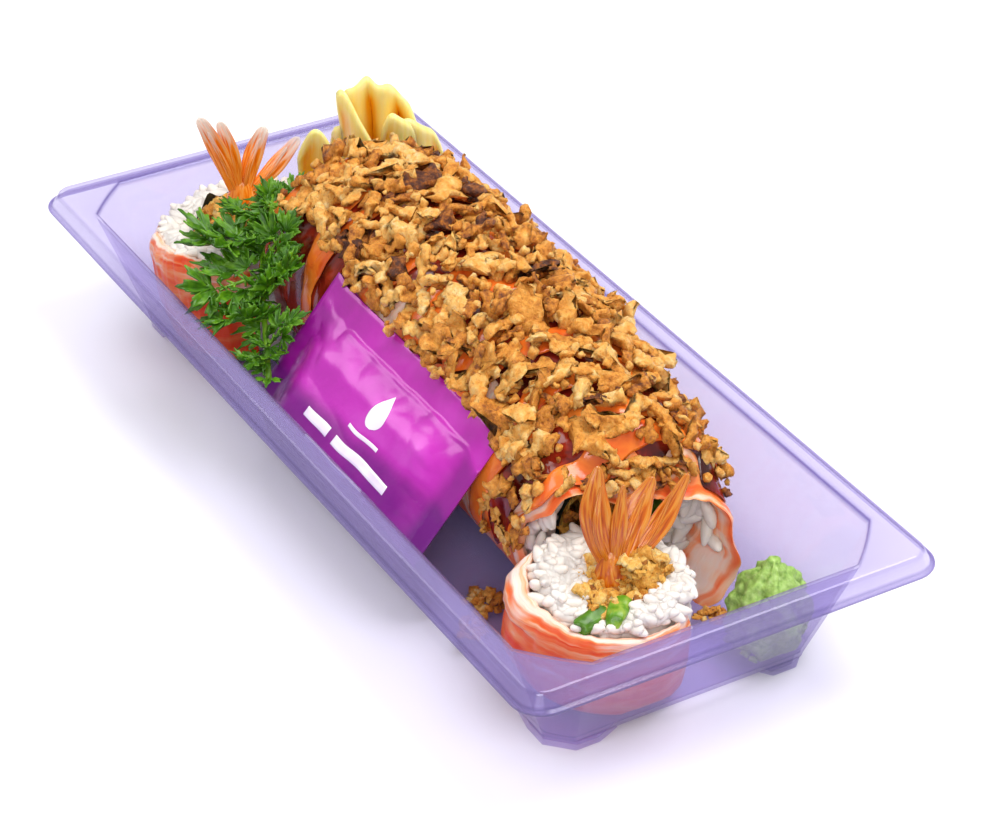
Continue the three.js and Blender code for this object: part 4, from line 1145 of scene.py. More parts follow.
def makeTail(name, tail, node, shell):
    base, across, down = Vector(tail["base"]), Vector(tail["across"]), Vector(tail["neck"]).normalized()
    sideways = across.cross(down).normalized()
    heap = newHeap(True)

    def section(centre, ahead, wide, thin, u, ribs):
        wideWay = across.cross(ahead).normalized()
        thinWay = ahead.cross(wideWay)
        turn = 2 * math.pi * u
        rib = 1 + ribs * math.cos(10 * turn) + 0.5 * ribs * math.cos(4 * turn)
        return centre + wideWay * wide * math.cos(turn) + thinWay * thin * rib * math.sin(turn)

    def addBlade(tip, width, bow, number):
        # each blade leaves the last joint on its own side
        start = base + down * 2.5 + sideways * (sideways.dot(tip - base) * 0.16)

        def centre(v):
            return start.lerp(tip, v) + bow * math.sin(math.pi * min(1, max(0, v)))

        def place(u, v):
            wide = width * (0.34 + 0.66 * math.sin(math.pi * min(1, 0.12 + 0.55 * v)))
            cap = math.sqrt(max(0, 1 - (max(0, v - 0.88) / 0.12) ** 2)) * math.sqrt(min(1, v * 40))
            wide *= cap * (1 - tail["taper"] * smooth(v, 0.5, 1))
            ahead = (centre(v + 0.02) - centre(v - 0.02)).normalized()
            wave = 0.35 * math.sin(5 * v + number) * v
            point = section(centre(v), ahead, wide / 2, lerp(0.9, 0.3, v ** 0.6) * cap, u, 0.12)
            crinkle = 0.25 * cap * bumps(math.cos(6.28 * u) * 2, v * 9, number, 2)
            return point + across.normalized() * (wave + crinkle)

        addPart(heap, bentTube(40, 30, place, lambda u, v: lerp(*tail["clear"], v ** 3)))

    for number, (tip, width, bow) in enumerate(tail["blades"]):
        addBlade(Vector(tip), width, Vector(bow), number)
        if width > 4:  # a thin spine lies on each broad blade
            lifted = Vector(tip).lerp(base, 0.2) + across * 0.5
            addBlade(lifted, width * 0.3, Vector(bow) + across * 1.1, number + 5)

    def neckPlace(u, v):
        wide, thin = spline(neckSizes, v)
        return section(base + Vector(tail["neck"]) * lerp(-0.2, 1, v), -down, wide, thin, u, 0.05)

    addPart(heap, bentTube(32, 24, neckPlace, lambda u, v: tail["clear"][0]))
    finishPiece(name, heap, shell, [node])


for label, piece, tailSettings, shell in (
    ("front", frontPiece, frontTail, friedShell), ("back", backPiece, backTail, boiledShell),
):
    makeRiceOf(label + "RiceRing", piece, label + "_rice")
    makeNoriOf(label + "NoriRing", piece, label + "_nori")
    makeWrapOf(label + "Wrap", piece, label + "_surimi")
    makeFillingOf(label + "Batter", piece, label + "_filling")
    makeTail(label + "PrawnTail", tailSettings, label + "_tail", shell)
print("end pieces done")

# Fried onions heaped over the roll: flakes and crumbs, some small ones down its left flank, and an apron of
# them over its front edge
onions = {
    "from": -62, "to": 67, "right": 15, "left": 161, "besideSachet": 141, "besideParsley": 136,
    "blanket": 4.2, "flakes": 410, "crumbs": 430,
    "flank": 14, "flankAlong": (45, 62), "flankDegrees": (162, 192),
    "apron": 26, "apronDegrees": (48, 136), "apronTo": 67.5,
    "steps": (0.7548, 0.5698),  # along and across, so that the flakes spread evenly and in no rows
}


def blanketDepth(x, degrees):
    high = 0.5 + 0.5 * max(0, math.sin(math.radians(degrees)))
    return onions["blanket"] * (0.55 + 0.45 * smooth(-abs(x), -62, -30)) * high + 0.4


def onionLeft(x):
    beside = lerp(onions["besideParsley"], onions["besideSachet"], smooth(x, -38, -26))
    return lerp(beside, onions["left"], smooth(x, 46, 56))


def makeOnions():
    start, (alongStep, acrossStep) = roll["surimi"] + air, onions["steps"]
    draw, heap = random.Random(5), newHeap()
    for i in range(onions["flakes"]):
        x = lerp(onions["from"] + 3, onions["to"] - 5, (i * alongStep) % 1) + draw.uniform(-2, 2)
        degrees = lerp(onions["right"] - 2, onionLeft(x) + 1, (i * acrossStep) % 1) + draw.uniform(-3, 3)
        depth = blanketDepth(x, degrees) * (i / onions["flakes"]) ** 0.6
        spot = drapePoint(x, degrees, start + 0.4 + depth)
        outward = outwardAt(x, degrees)
        leaned = (outward + Vector([draw.uniform(-0.55, 0.55) for _ in range(3)])).normalized()
        size = draw.uniform(0.62, 1.0) if i % 3 else draw.uniform(0.95, 1.2)
        sizes = [size * draw.uniform(low, 1.2) for low in (0.8, 0.8, 0.9)]
        layBit(heap, draw, flakes, spot, leaned, 0.4, sizes)
    for i in range(onions["crumbs"]):
        x = lerp(onions["from"] + 1, onions["to"] - 2, (i * goldenStep) % 1) + draw.uniform(-1, 1)
        degrees = lerp(onions["right"] - 4, onionLeft(x) + 5, draw.random())
        spot = drapePoint(x, degrees, start + 0.5 + blanketDepth(x, degrees) * draw.uniform(0.1, 1.1))
        size = draw.uniform(0.5, 1.2)
        sizes = (size * draw.uniform(0.8, 1.7), size, size * draw.uniform(0.7, 1.1))
        layBit(heap, draw, crumbs, spot, outwardAt(x, degrees), 0.8, sizes)

    def laySmall(x, degrees, size, height):
        outward = outwardAt(x, degrees)
        placed = stood(drapePoint(x, degrees, start + height), outward, anyTurn(draw), 0.2, (size,) * 3)
        addCopy(heap, draw.choice(flakes), placed, drawTone(draw))

    for _ in range(onions["flank"]):
        x, degrees = draw.uniform(*onions["flankAlong"]), draw.uniform(*onions["flankDegrees"])
        laySmall(x, degrees, draw.uniform(0.35, 0.62), 0.8)
    for i in range(onions["apron"]):
        degrees = lerp(*onions["apronDegrees"], (i * goldenStep) % 1)
        x = min(onions["apronTo"], drapeFront(degrees) - draw.uniform(0.5, 5))
        laySmall(x, degrees, draw.uniform(0.5, 0.85), 1)
    finishPiece("friedOnions", heap, friedOnion, ["onions"])


makeOnions()

# Bits that fell on the tray's floor, in three little heaps
fallen = [
    {"node": "fallen_onion_1", "at": (47.5, -20.5), "size": (4.8, 3, 2.4), "turn": 0.6},
    {"node": "fallen_onion_2", "at": (53.5, -27), "size": (4, 2.7, 2), "turn": 2.2},
    {"node": "fallen_onion_3", "at": (74.4, 18.2), "size": (3.6, 2, 1.7), "turn": 0.9},
]
fallenBits = 16


def makeFallen(number, bit):
    draw, heap = random.Random(number + 60), newHeap()
    (x, y), (long, wide, high) = bit["at"], bit["size"]
    c, s = math.cos(bit["turn"]), math.sin(bit["turn"])
    for i in range(fallenBits):
        angle, r = i * 2.4, draw.random() ** 0.6
        dx, dy = r * long * math.cos(angle), r * wide * math.sin(angle)
        rise = high * (0.5 + 1.1 * (1 - r) * draw.random())
        spot = Vector((x + dx * c - dy * s, y + dx * s + dy * c, floorTop + rise))
        size = high * draw.uniform(0.3, 0.55)
        shape, sizes = draw.choice(crumbs), (size * 1.5, size, size)
        if i % 3 == 0:
            shape, sizes = draw.choice(flakes), (long / 10, long / 9, long / 11)
        placed = stood(spot, Vector((0, 0, 1)), anyTurn(draw), draw.uniform(-0.5, 0.5), sizes)
        addCopy(heap, shape, placed, drawTone(draw))
    for vert in heap.verts:
        vert.co.z = max(vert.co.z, floorTop)
    finishPiece("fallenOnion%d" % (number + 1), heap, friedOnion, [bit["node"]])


for number, bit in enumerate(fallen):
    makeFallen(number, bit)
print("onions done")

# What the roll holds: battered prawn in most of its middle and a strip of green to one side
strip = {"green": (-50, 20), "inner": 3.0}


# A slice of the roll's middle: u goes along its arc and then in to its tip and out again
def sectorPoint(x, radius, u, fromDegrees, toDegrees, inner):
    arc = 0.74
    if u <= arc:
        return rollPoint(x, radius, lerp(fromDegrees, toDegrees, u / arc))
    t = (u - arc) / (1 - arc)
    middle = (fromDegrees + toDegrees) / 2
    tip = rollPoint(x, inner, middle)
    ends = rollPoint(x, radius, toDegrees), rollPoint(x, radius, fromDegrees)
    return ends[0].lerp(tip, 2 * t) if t < 0.5 else tip.lerp(ends[1], 2 * t - 1)


def makeRollFilling():
    start, end = strip["green"][1] + 6, strip["green"][0] + 354
    radius = roll["filling"] - 0.3

    def place(u, v):
        x = lerp(roll["from"] - 0.2, roll["to"] + 0.4, v)
        dent = 0.7 * abs(bumps(x / 2, u * 14, 4, 1))
        return sectorPoint(x, radius - dent, u, start, end, 1.5)

    core = bentTube(60, 40, place)
    draw = random.Random(31)
    for x, way in ((roll["to"] + 0.4, 1), (roll["from"] - 0.2, -1)):
        for _ in range(crumb["onRoll"]):
            degrees, r = lerp(start, end, draw.random()), radius * draw.random() ** 0.5 * 0.95
            spot = rollPoint(x, r, degrees)
            spot.x += way * draw.uniform(-0.4, 0.5)
            size = draw.uniform(0.6, 1.5)
            sizes = (size * 1.3, size, size * 0.8)
            layBit(core, draw, crumbs, spot, Vector((way, 0, 0)), 0.8, sizes, -0.1)
    finishPiece("rollBatter", core, friedBatter, ["roll_filling"])

    def greenPlace(u, v):
        x = lerp(roll["from"] - 0.3, roll["to"] + 0.8, v)
        dent = 0.3 * abs(bumps(x / 6, u * 9, 8, 1))
        return sectorPoint(x, radius - dent, u, *strip["green"], strip["inner"])

    green = bentTube(36, 30, greenPlace, lambda u, v: 0.25 * abs(2 * u - 1))
    finishPiece("rollGreen", green, greenStalk, ["roll_green"], sharp=60)


makeRollFilling()


# Two chunks of green lie in the front piece's rice
def makeFrontGreen():
    heap = newHeap(True)
    centre = standing(frontPiece, 12.2, -33, 1, 1.3)
    chunks = [((-1.6, -3.4, -0.4), 4, 1.6, 0.9), ((0.2, 1.6, 0.2), 3.8, 1.9, 1.3)]
    for i, (shift, long, high, turn) in enumerate(chunks):
        made = bmesh.new()
        bmesh.ops.create_cube(made, size=2)
        bmesh.ops.bevel(
            made, geom=made.edges[:], offset=0.6, segments=4, profile=0.5, affect="EDGES", material=-1,
        )
        bmesh.ops.subdivide_edges(made, edges=made.edges[:], cuts=2, use_grid_fill=True)
        for vert in made.verts:
            vert.co *= 1 + 0.34 * bumps(*(vert.co + Vector((9 * i, 0, 0))), 0.9)
        shape = baseShape(made)
        placed = stood(centre + Vector(shift), Vector((0.25, -0.2, 1)), turn, 0.2, (long, 2.1, high))
        addCopy(heap, shape, placed, 0.1 + 0.2 * i)
    finishPiece("frontGreen", heap, greenStalk, sharp=45)


makeFrontGreen()

# Sauce over the roll: a dark glaze, and bands of orange over it from side to side
glaze = {"from": -57, "to": 66, "right": 14, "rim": 2.2, "thick": 0.75, "columns": 130, "rows": 110}
drizzle = {
    "half": 2.6, "thick": 1.0, "pitch": 10.5, "slant": 0.075, "columns": 14, "rows": 90,
    "from": -54, "to": 64, "right": 18, "left": 196,
}


def glazeLeft(x):
    drip = max(0, bumps(x / 5.5, 2, 3, 1)) * 44
    open = max(1 - smooth(x, -32, -28), smooth(x, 43, 46))  # 0 behind the sachet
    side = lerp(126, lerp(204, 180, smooth(x, 0, 50)), open)
    return min(drape["to"] - 4, side + open * (drip - 14 * max(0, bumps(x / 4, 8, 1, 1))))


def makeGlaze():
    skin = roll["surimi"] + 0.1

    def place(u, v):
        t = outAndBack(v)
        right = glaze["right"] + 16 * bumps(u * 22, 5, 7, 1)
        start = lerp(glaze["from"], glaze["to"], u)
        degrees = lerp(right, glazeLeft(start), t)
        scallop = 5 * smooth(bumps(degrees / 26, 3, 1, 1), -0.3, 0.5)
        x = min(start, drapeFront(degrees) - glaze["rim"] - scallop)
        edge = min(1, 25 * min(u, 1 - u)) * min(1, 25 * t)
        bead = glaze["thick"] * (1 + 0.5 * smooth(t, 0.93, 0.99)) * math.sqrt(edge)
        lumps = 0.35 * bumps(x, degrees / 5, 6, 3) * edge
        return drapePoint(x, degrees, skin + (bead + lumps if v < 0.5 else 0))

    made = bentShell(glaze["columns"], glaze["rows"] * 2, place)
    bmesh.ops.dissolve_degenerate(made, dist=1e-4, edges=made.edges)
    finishPiece("sweetSoyGlaze", made, darkSauce)


def makeDrizzle():
    heap, draw = newHeap(True), random.Random(8)
    skin = roll["surimi"] + 0.75
    count = int((drizzle["to"] - drizzle["from"]) / drizzle["pitch"])
    for i in range(count + 1):
        start = drizzle["from"] + i * drizzle["pitch"] + draw.uniform(-1.5, 1.5)
        slant = drizzle["slant"] * (1 if i % 2 else -1) * draw.uniform(0.5, 1.2)
        half = drizzle["half"] * draw.uniform(0.75, 1.25)
        beside = smooth(start, -36, -30) * (1 - smooth(start, 42, 47))  # the sachet hides the rest
        left = lerp(drizzle["left"] + draw.uniform(-22, 20), onionLeft(start) + 6, beside)
        right = drizzle["right"] + draw.uniform(-4, 8)

        def place(u, v):
            degrees, turn = lerp(right, left, v), 2 * math.pi * u
            width = half * (1 + 0.35 * bumps(degrees / 12, i, 2, 1)) * roundedOff(v, 14)
            x = start + slant * (degrees - 90) + 1.6 * bumps(degrees / 25, i, 9, 1) + width * math.cos(turn)
            x = min(x, drapeFront(degrees) - 1.6)
            high = drizzle["thick"] * (0.5 + 0.5 * math.sin(turn)) * math.sqrt(width / half)
            return drapePoint(x, degrees, skin + high)

        addPart(heap, bentTube(drizzle["columns"], drizzle["rows"], place))
    finishPiece("spicyMayonnaise", heap, orangeSauce)


makeGlaze()
makeDrizzle()
print("fillings and sauce done")

# Sauce sachet: pillow pack of printed film, sealed along its edges, leaning on the roll and the tray's wall
sachet = {
    "length": 70, "width": 47, "thick": 8.5, "film": 0.7, "seal": 6, "band": 6.8,
    "topEdge": (-27.2, -14.4, 41.2), "slide": (-0.64, -0.768), "straight": 34, "bend": 36,
    "columns": 170, "rows": 130,
}


# The middle surface: straight down from its top edge, then bent to follow the tray's wall
def sachetPlace(along, down):
    dy, dz = sachet["slide"]
    x, y, z = sachet["topEdge"]
    flat, rest = min(down, sachet["straight"]), max(0, down - sachet["straight"])
    turn = math.radians(sachet["bend"]) * smooth(rest, 0, 6)
    by = dy * math.cos(turn) + dz * math.sin(turn)
    bz = dz * math.cos(turn) + dy * math.sin(turn)
    return Vector((x + along, y + dy * flat + max(by, -0.35) * rest, z + dz * flat + bz * rest))


# How full the pack is, 0 at its seals and 1 in its middle
def sachetFill(u, v):
    length, width, seal = sachet["length"], sachet["width"], sachet["seal"]
    ends = smooth(min(u, 1 - u) * length, seal * 0.5, seal + 9)
    sides = smooth(v * width, sachet["band"] - 1.5, sachet["band"] + 8)
    sides *= smooth((1 - v) * width, seal * 0.4, seal + 9)
    return ends ** 0.8 * sides ** 0.8


# Small relief on the film: crimp lines along the top band and left end, folds into the pillow, and dents
def sachetRelief(u, v):
    along, down, band = u * sachet["length"], v * sachet["width"], sachet["band"]
    outer = (1 - smooth(down, band * 0.4, band * 0.55)) * smooth(along, 30, 38)
    lines = 0.09 * math.sin(2 * math.pi * down / 0.9) * outer
    leftEnd = 0.07 * math.sin(2 * math.pi * along / 0.9) * (1 - smooth(along, 4, 5))
    offRidge = (down - band + 0.4 * bumps(along, 0, 9, 9)) / 0.6
    ridge = 0.3 * math.exp(-(offRidge ** 2)) * smooth(along, 10, 16)
    fill = sachetFill(u, v)
    edge = 4 * fill * (1 - fill)
    wide, narrow = creases(along, down / 2, 2, 11) - 0.6, creases(along / 1.5, down, 8, 4) - 0.6
    folds = edge * (0.35 * wide + 0.12 * narrow)
    dents = bumps(along / 2, down, 7, 13) * fill + 0.35 * (creases(along / 2, down, 4, 16) - 0.5) * fill
    corner = math.hypot(along, 1.2 * down)
    crumple = 0.5 * (1 - smooth(corner, 12, 30)) * smooth(min(along, down), 0, 3)
    crumple *= creases(along, down, 5, 7) - 0.5
    lowEnd = 0.4 * (creases(along, down, 2, 9) - 0.5) * (1 - smooth(along, 3, 17)) * smooth(along, 0, 3)
    return lines + leftEnd + ridge + folds + dents + crumple + lowEnd


def sachetMiddle(u, v):
    length, width = sachet["length"], sachet["width"]
    end = smooth(u, 1 - 7 / length, 1) - 0.5 * smooth(1 - u, 1 - 6 / length, 1)
    point = sachetPlace(length * u, width * v)
    wave = 0.45 * bumps(u * 9, v * 6, 1, 1) * (1 - abs(2 * v - 1) ** 4)
    return point + Vector((0, -1.1 * end + 0.6 * wave, -2.4 * end + wave))


def sachetNormal(u, v):
    step = 0.01
    along = sachetMiddle(min(1, u + step), v) - sachetMiddle(max(0, u - step), v)
    down = sachetMiddle(u, min(1, v + step)) - sachetMiddle(u, max(0, v - step))
    return down.cross(along).normalized()


# Half the pack's thickness
def sachetHalf(u, v):
    return lerp(sachet["film"], sachet["thick"], sachetFill(u, v)) / 2


def sachetTop(u, v, lift=0):
    rise = max(sachetHalf(u, v) + sachetRelief(u, v), min(0.6, 0.35 + 20 * min(u, 1 - u, v, 1 - v)))
    return sachetMiddle(u, v) + sachetNormal(u, v) * (rise + lift)


def makeSachet():
    def place(u, v):
        across = outAndBack(u)
        if u <= 0.5:
            return sachetTop(across, v)
        return sachetMiddle(across, v) - sachetNormal(across, v) * sachetHalf(across, v)

    # Painted light and shade: painted shade in the creases, on the steep lower part bent along the tray's
    # wall and on the folded right end, and a painted highlight on the pillow's upper swell; the tone is
    # also a little higher along the seal band and lower at the left end
    def tone(u, v):
        across = outAndBack(u)
        fill = sachetFill(across, v)
        steep = smooth(v + 0.1 * (across - 0.5), 0.4, 0.5)
        creaseShade = -0.5 * min(0, sachetRelief(across, v) + 0.1)
        folded = smooth(across, 0.9, 0.95) * smooth(v, 0.12, 0.2)
        band = 1 - smooth(v * sachet["width"], sachet["band"] - 0.8, sachet["band"] + 0.8)
        upperHighlight = 0.18 * fill * (1 - steep) + 0.12 * band
        leftEnd = 1 - smooth(across, 0.05, 0.3)
        return 0.52 + upperHighlight - 0.34 * steep - 0.35 * creaseShade - 0.3 * folded - 0.2 * leftEnd

    made = bentTube(sachet["columns"] * 2, sachet["rows"], place, tone)
    keepInside(made)
    finishPiece("sauceSachet", made, printedFilm, ["sachet"], sharp=60)


# Plain marks printed on the film: a droplet and four bars
marks = {
    "drop": (0.57, 0.29), "dropSize": 4.3, "dropTurn": math.radians(-8), "proud": 0.07, "ink": 0.04,
    # from, to, down, height
    "bars": [
        (0.3, 0.44, 0.53, 2.3), (0.475, 0.78, 0.53, 2.3), (0.49, 0.66, 0.43, 0.9), (0.36, 0.7, 0.615, 0.8),
    ],
}


def makeMarks():
    heap = newHeap(True)
    length, width = sachet["length"], sachet["width"]

    def addPatch(columns, rows, where):
        made = bentGrid(columns, rows, lambda u, v: sachetTop(*where(u, v), marks["proud"]))
        bmesh.ops.solidify(made, geom=made.faces[:], thickness=marks["ink"])
        addPart(heap, made)

    def droplet(u, v):
        size, along = marks["dropSize"], 2 * v - 1
        half = 0.62 * math.sqrt(max(0, 1 - along * along)) * (0.5 + 0.5 * along) ** 0.55 * 1.5
        side = (2 * u - 1) * half
        (x, y), c, s = marks["drop"], math.cos(marks["dropTurn"]), math.sin(marks["dropTurn"])
        dx, dy = side * c - along * s, side * s + along * c
        return x + size * dx / length, y + size * dy / width

    addPatch(20, 30, droplet)
    for start, end, down, tall in marks["bars"]:
        addPatch(80, 4, lambda u, v: (lerp(start, end, u), down + tall * (v - 0.5) / width))
    finishPiece("sachetMarks", heap, whiteInk)


# The foil's unprinted back shows along the left end
def makeBackEdge():
    def place(u, v):
        down = lerp(0.04, 0.8, u)
        spot, normal = sachetMiddle(0.012 * v, down), sachetNormal(0.0, down)
        out = 1.7 * (0.55 + 0.45 * bumps(u * 7, 1, 3, 1)) * (1 - v)
        return spot - normal * (0.25 + 0.9 * (1 - v)) - Vector((out, 0, 0))

    made = bentGrid(70, 4, place)
    bmesh.ops.solidify(made, geom=made.faces[:], thickness=0.15)
    keepInside(made)
    finishPiece("sachetBackEdge", made, whiteInk)


makeSachet()
makeMarks()
makeBackEdge()
print("sachet done")

# Pickled ginger: thin pleated slices stood in the corner, one slice apart from them
ginger = {"at": (-80, 25.5), "look": 56, "thick": 1.6, "alone": (-81, 9.6), "aloneLook": 62}
gingerSlices = [
    # along, back, turn, width, height, pleats, and how much its top falls from left to right
    (0, 2.5, 0, 18, 50, 2.6, 0.1), (-4.2, -2.6, -0.2, 11.5, 44.5, 0.8, 0.45),
    (5, -1.8, 0.25, 8.5, 44, 0.8, 0.1), (9.4, 0.6, 0.4, 12, 41, 0.9, 0.2),
    (-8.8, 3.4, -0.5, 7, 38, 0.8, -0.15),
]


# A slice stands on its foot, droops at its top corners and is pleated toward its edge
def sliceSurface(centre, heading, width, height, pleats, lean, foot, droop, square, fall=0):
    way = Vector((math.cos(heading), math.sin(heading), 0))
    out = Vector((-way.y, way.x, 0))

    def at(u, v):
        side = u - 0.5
        spread = (foot + (1 - foot) * math.sqrt(max(0, v))) * width
        pleat = 2.2 * math.sin(2 * math.pi * pleats * u + 2 * v) * (0.35 + v)
        pleat *= 1 - 0.75 * smooth(v, 0.72, 1)
        curl = -2.4 * smooth(v, 0.7, 1) ** 2
        ruffle = 0.012 * math.sin(2.6 * math.pi * pleats * u + 1) - fall * side
        crest = height * v * (1 - droop * v * abs(2 * side) ** square + ruffle * v ** 3)
        return centre + way * (spread * side) + out * (pleat + lean * v * v + curl) + Vector((0, 0, crest))

    return at


def addSlice(heap, at, thick, pleats):
    def place(u, v):
        across, side, step = outAndBack(u), 1 if u < 0.5 else -1, 0.02
        a = at(min(1, across + step), v) - at(max(0, across - step), v)
        b = at(across, min(1, v + step)) - at(across, max(0, v - step))
        half = 0.5 * thick * roundedOff(across, 8) * roundedOff(v, 40)
        return at(across, v) + a.cross(b).normalized() * (side * half)

    # Painted shade: deeper yellow in the folds that lie furthest back; painted highlight: paler along the
    # sides and the top edge
    def tone(u, v):
        across = outAndBack(u)
        fold = math.sin(2 * math.pi * pleats * across + 2 * v)  # 1 is furthest back
        rim = max(smooth(abs(2 * across - 1), 0.7, 1), smooth(v, 0.86, 0.98))
        return 0.42 - 0.26 * fold * (1 - rim) * smooth(v, 0, 0.5) + 0.34 * rim

    addPart(heap, bentTube(88, 40, place, tone))


def makeGinger():
    x, y = ginger["at"]
    look = math.radians(ginger["look"])
    way, back = Vector((math.cos(look), math.sin(look), 0)), Vector((-math.sin(look), math.cos(look), 0))
    heap, alone = newHeap(True), newHeap(True)
    for along, behind, turn, width, height, pleats, fall in gingerSlices:
        centre = Vector((x, y, floorTop + 1)) + way * along + back * behind
        surface = sliceSurface(centre, look + turn, width, height, pleats, 1, 0.7, 0.15, 3, fall)
        addSlice(heap, surface, ginger["thick"], pleats)
    keepInside(heap)
    finishPiece("gingerSlices", heap, pickledGinger, ["ginger"])
    centre = Vector((*ginger["alone"], floorTop + 0.5))
    surface = sliceSurface(centre, math.radians(ginger["aloneLook"]), 9.5, 44.5, 0.5, -1.5, 0.8, 0.2, 2)
    addSlice(alone, surface, 1.3, 0.5)
    finishPiece("gingerSliceAlone", alone, pickledGinger, ["ginger_slice"])


makeGinger()

# Wasabi: a piped lump with broken flutes
wasabi = {
    "at": (86, 24.3), "radius": 8.1, "height": 20.6, "flutes": 6, "columns": 144, "rows": 90,
    # shares of the radius from its foot to its top
    "swell": [0.8, 0.95, 1, 0.99, 0.94, 0.84, 0.66, 0.4, 0.12],
}


def makeWasabi():
    x, y = wasabi["at"]

    def place(u, v):
        part, turn = lerp(*nearStops(wasabi["swell"], v)), 2 * math.pi * u
        flute = 1 + 0.13 * math.sin(wasabi["flutes"] * (turn + 1.1 * v)) + 0.04 * math.sin(13 * (turn - v))
        r = wasabi["radius"] * part * flute
        point = Vector((x + r * math.cos(turn), y + r * math.sin(turn), floorTop + v * wasabi["height"]))
        rough = 0.5 * bumps(*point, 2.2) + 0.45 * (creases(*point, 3.4) - 0.4) * smooth(v, 0.05, 0.3)
        return point + Vector((math.cos(turn), math.sin(turn), 0.6 * v)) * rough

    made = bentTube(wasabi["columns"], wasabi["rows"], place)
    draw = random.Random(4)
    for _ in range(crumb["onWasabi"]):
        turn, v = anyTurn(draw), 0.8 * draw.random() ** 2
        r = wasabi["radius"] * (1.0 - 0.35 * v)
        z = floorTop + 0.8 + v * wasabi["height"] * 0.85
        spot = Vector((x + r * math.cos(turn), y + r * math.sin(turn), z))
        size = draw.uniform(0.7, 1.5)
        placed = stood(spot, Vector((0, 0, 1)), turn, 0.4, (size, size, size * 0.8))
        addCopy(made, draw.choice(crumbs), placed, 0)
    keepInside(made)
    finishPiece("wasabiLump", made, wasabiPaste, ["wasabi"])


makeWasabi()
print("ginger and wasabi done")

# Parsley: a branched stem with fans of toothed leaflets
sprig = {
    "stem": [(-23, -34, 22.8), (-32, -30, 27.8), (-44, -24.5, 32.8), (-56, -18, 37.3), (-63, -12, 39.8)],
    "stemRadius": 0.75, "small": 22, "fan": 1.55,  # half the angle that a leaflet opens to
    # root, heading, tilt, size and roll
    "leaves": [
        ((-63, -12.2, 39.7), 1.85, -0.1, 10, -0.1), ((-60, -14.5, 38.8), -2.6, 0.05, 11, 0.3),
        ((-62.5, -12.5, 39.6), 2.6, -0.2, 8, 0.4), ((-54, -19, 36.6), -1.95, -0.1, 16, 0.3),
        ((-50, -21, 35.2), 1.5, -0.85, 11.5, 0.3), ((-47, -23, 34), -1.55, 0.1, 16.5, -0.35),
        ((-46, -23.5, 33.6), 0.7, -0.6, 11, 0.2), ((-41, -25.8, 31.6), 1.1, -0.8, 12, -0.3),
        ((-36, -28.2, 29.6), -1.95, 0, 12.5, 0.3), ((-30, -30.8, 26.8), 1.2, -0.8, 9.5, 0.2),
        ((-27, -32.2, 25.2), -1.7, -0.2, 7, 0),
    ],
    # where a leaflet grows from along the leaf's stalk, its angle and size
    "leaflets": [
        (0.1, 80, 0.42), (0.1, -80, 0.42), (0.26, 68, 0.5), (0.26, -68, 0.5), (0.42, 50, 0.54),
        (0.42, -50, 0.54), (0.55, 22, 0.5), (0.58, -16, 0.56),
    ],
}


# A leaflet: three main lobes cut deep, each with pointed teeth, cupped and veined
def leafletShape(seed):
    draw = random.Random(seed)
    cup, droop = draw.uniform(0.1, 0.5), draw.uniform(-0.25, 0.2)

    def reach(angle):
        lobes = 0.42 + 0.58 * abs(math.cos(4 * angle)) ** 0.8
        teeth = 1 + 0.1 * math.cos(24 * angle)
        return lobes * teeth * (1 - 0.3 * (abs(angle) / sprig["fan"]) ** 2)

    def place(u, v):
        angle = lerp(-sprig["fan"], sprig["fan"], u)
        r = reach(angle) * (0.06 + 0.94 * v)
        x, y = r * math.cos(angle) + 0.2, r * math.sin(angle) * 0.85
        fold = 0.1 * abs(math.sin(4 * angle)) * v + cup * y * y + droop * x * x
        return Vector((x * 0.86, y * 0.86, fold + 0.06 * bumps(x * 4, y * 4, seed, 1)))

    made = bentShell(54, 5, place, lambda u, v: 0.1 * (1 - v) + 0.2 * abs(math.sin(6.2 * (u - 0.5))) * v)
    bmesh.ops.solidify(made, geom=made.faces[:], thickness=0.035)
    return baseShape(made)


def addTwig(heap, points, radius):
    def place(u, v):
        before, after, t = nearStops(points, v)
        centre, ahead = before.lerp(after, t), (after - before).normalized()
        side = ahead.cross(Vector((0, 0, 1))).normalized()
        up = side.cross(ahead)
        turn = 2 * math.pi * u
        r = radius * (1 - 0.35 * v)
        return centre + side * (r * math.cos(turn)) + up * (r * math.sin(turn))

    addPart(heap, bentTube(8, 4 * (len(points) - 1), place, lambda u, v: 0.3))


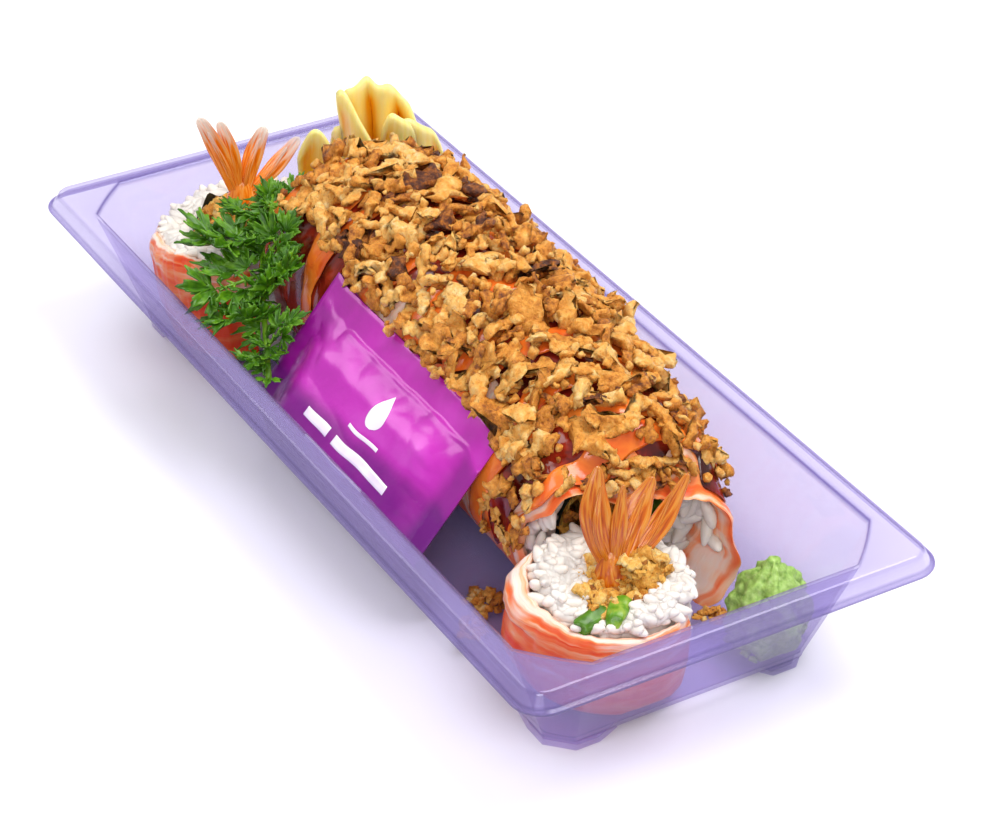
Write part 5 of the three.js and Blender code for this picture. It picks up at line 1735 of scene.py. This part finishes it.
def makeParsley():
    draw = random.Random(21)
    shapes = [leafletShape(seed) for seed in range(1, 6)]
    heap = newHeap(True)
    addTwig(heap, [Vector(p) for p in sprig["stem"]], sprig["stemRadius"])
    for root, heading, tilt, size, sway in sprig["leaves"]:
        frameOf = Matrix.Translation(root) @ Matrix.Rotation(heading, 4, "Z")
        frameOf = frameOf @ Matrix.Rotation(tilt, 4, "Y") @ Matrix.Rotation(sway, 4, "X")
        tipAt = Vector((size * 0.66, 0, 0.04 * size))
        addTwig(heap, [frameOf @ Vector((0, 0, 0)), frameOf @ (tipAt * 0.5), frameOf @ tipAt], 0.5)
        for along, angle, part in sprig["leaflets"]:
            turn = math.radians(angle + draw.uniform(-14, 14))
            start = Vector((size * along, 0, 0.03 * size))
            stalk = start + Vector((math.cos(turn), math.sin(turn), 0.1)) * size * 0.08
            end = stalk + (stalk - start) * 0.5
            addTwig(heap, [frameOf @ start, frameOf @ stalk, frameOf @ end], 0.35)
            rolled, tipped = draw.uniform(-0.5, 0.5), draw.uniform(-0.5, 0.25)
            tiltLeaf = Matrix.Rotation(rolled, 4, "X") @ Matrix.Rotation(tipped, 4, "Y")
            grown = size * part * draw.uniform(0.95, 1.2)
            planted = frameOf @ Matrix.Translation(stalk) @ Matrix.Rotation(turn, 4, "Z")
            addCopy(heap, draw.choice(shapes), planted @ tiltLeaf @ Matrix.Scale(grown, 4))
    for i in range(sprig["small"]):  # small leaflets close to the stem
        t = i / (sprig["small"] - 1) * (len(sprig["stem"]) - 1.001)
        a, b = (Vector(point) for point in sprig["stem"][int(t) : int(t) + 2])
        placed = Matrix.Translation(a.lerp(b, t % 1)) @ Matrix.Rotation(draw.uniform(-2.8, 0.6), 4, "Z")
        placed = placed @ Matrix.Rotation(draw.uniform(-0.9, 0.1), 4, "Y")
        placed = placed @ Matrix.Scale(draw.uniform(5, 7), 4)
        addCopy(heap, draw.choice(shapes), placed)
    finishPiece("parsleySprig", heap, parsleyLeaf, ["parsley"])


makeParsley()
print("parsley done")
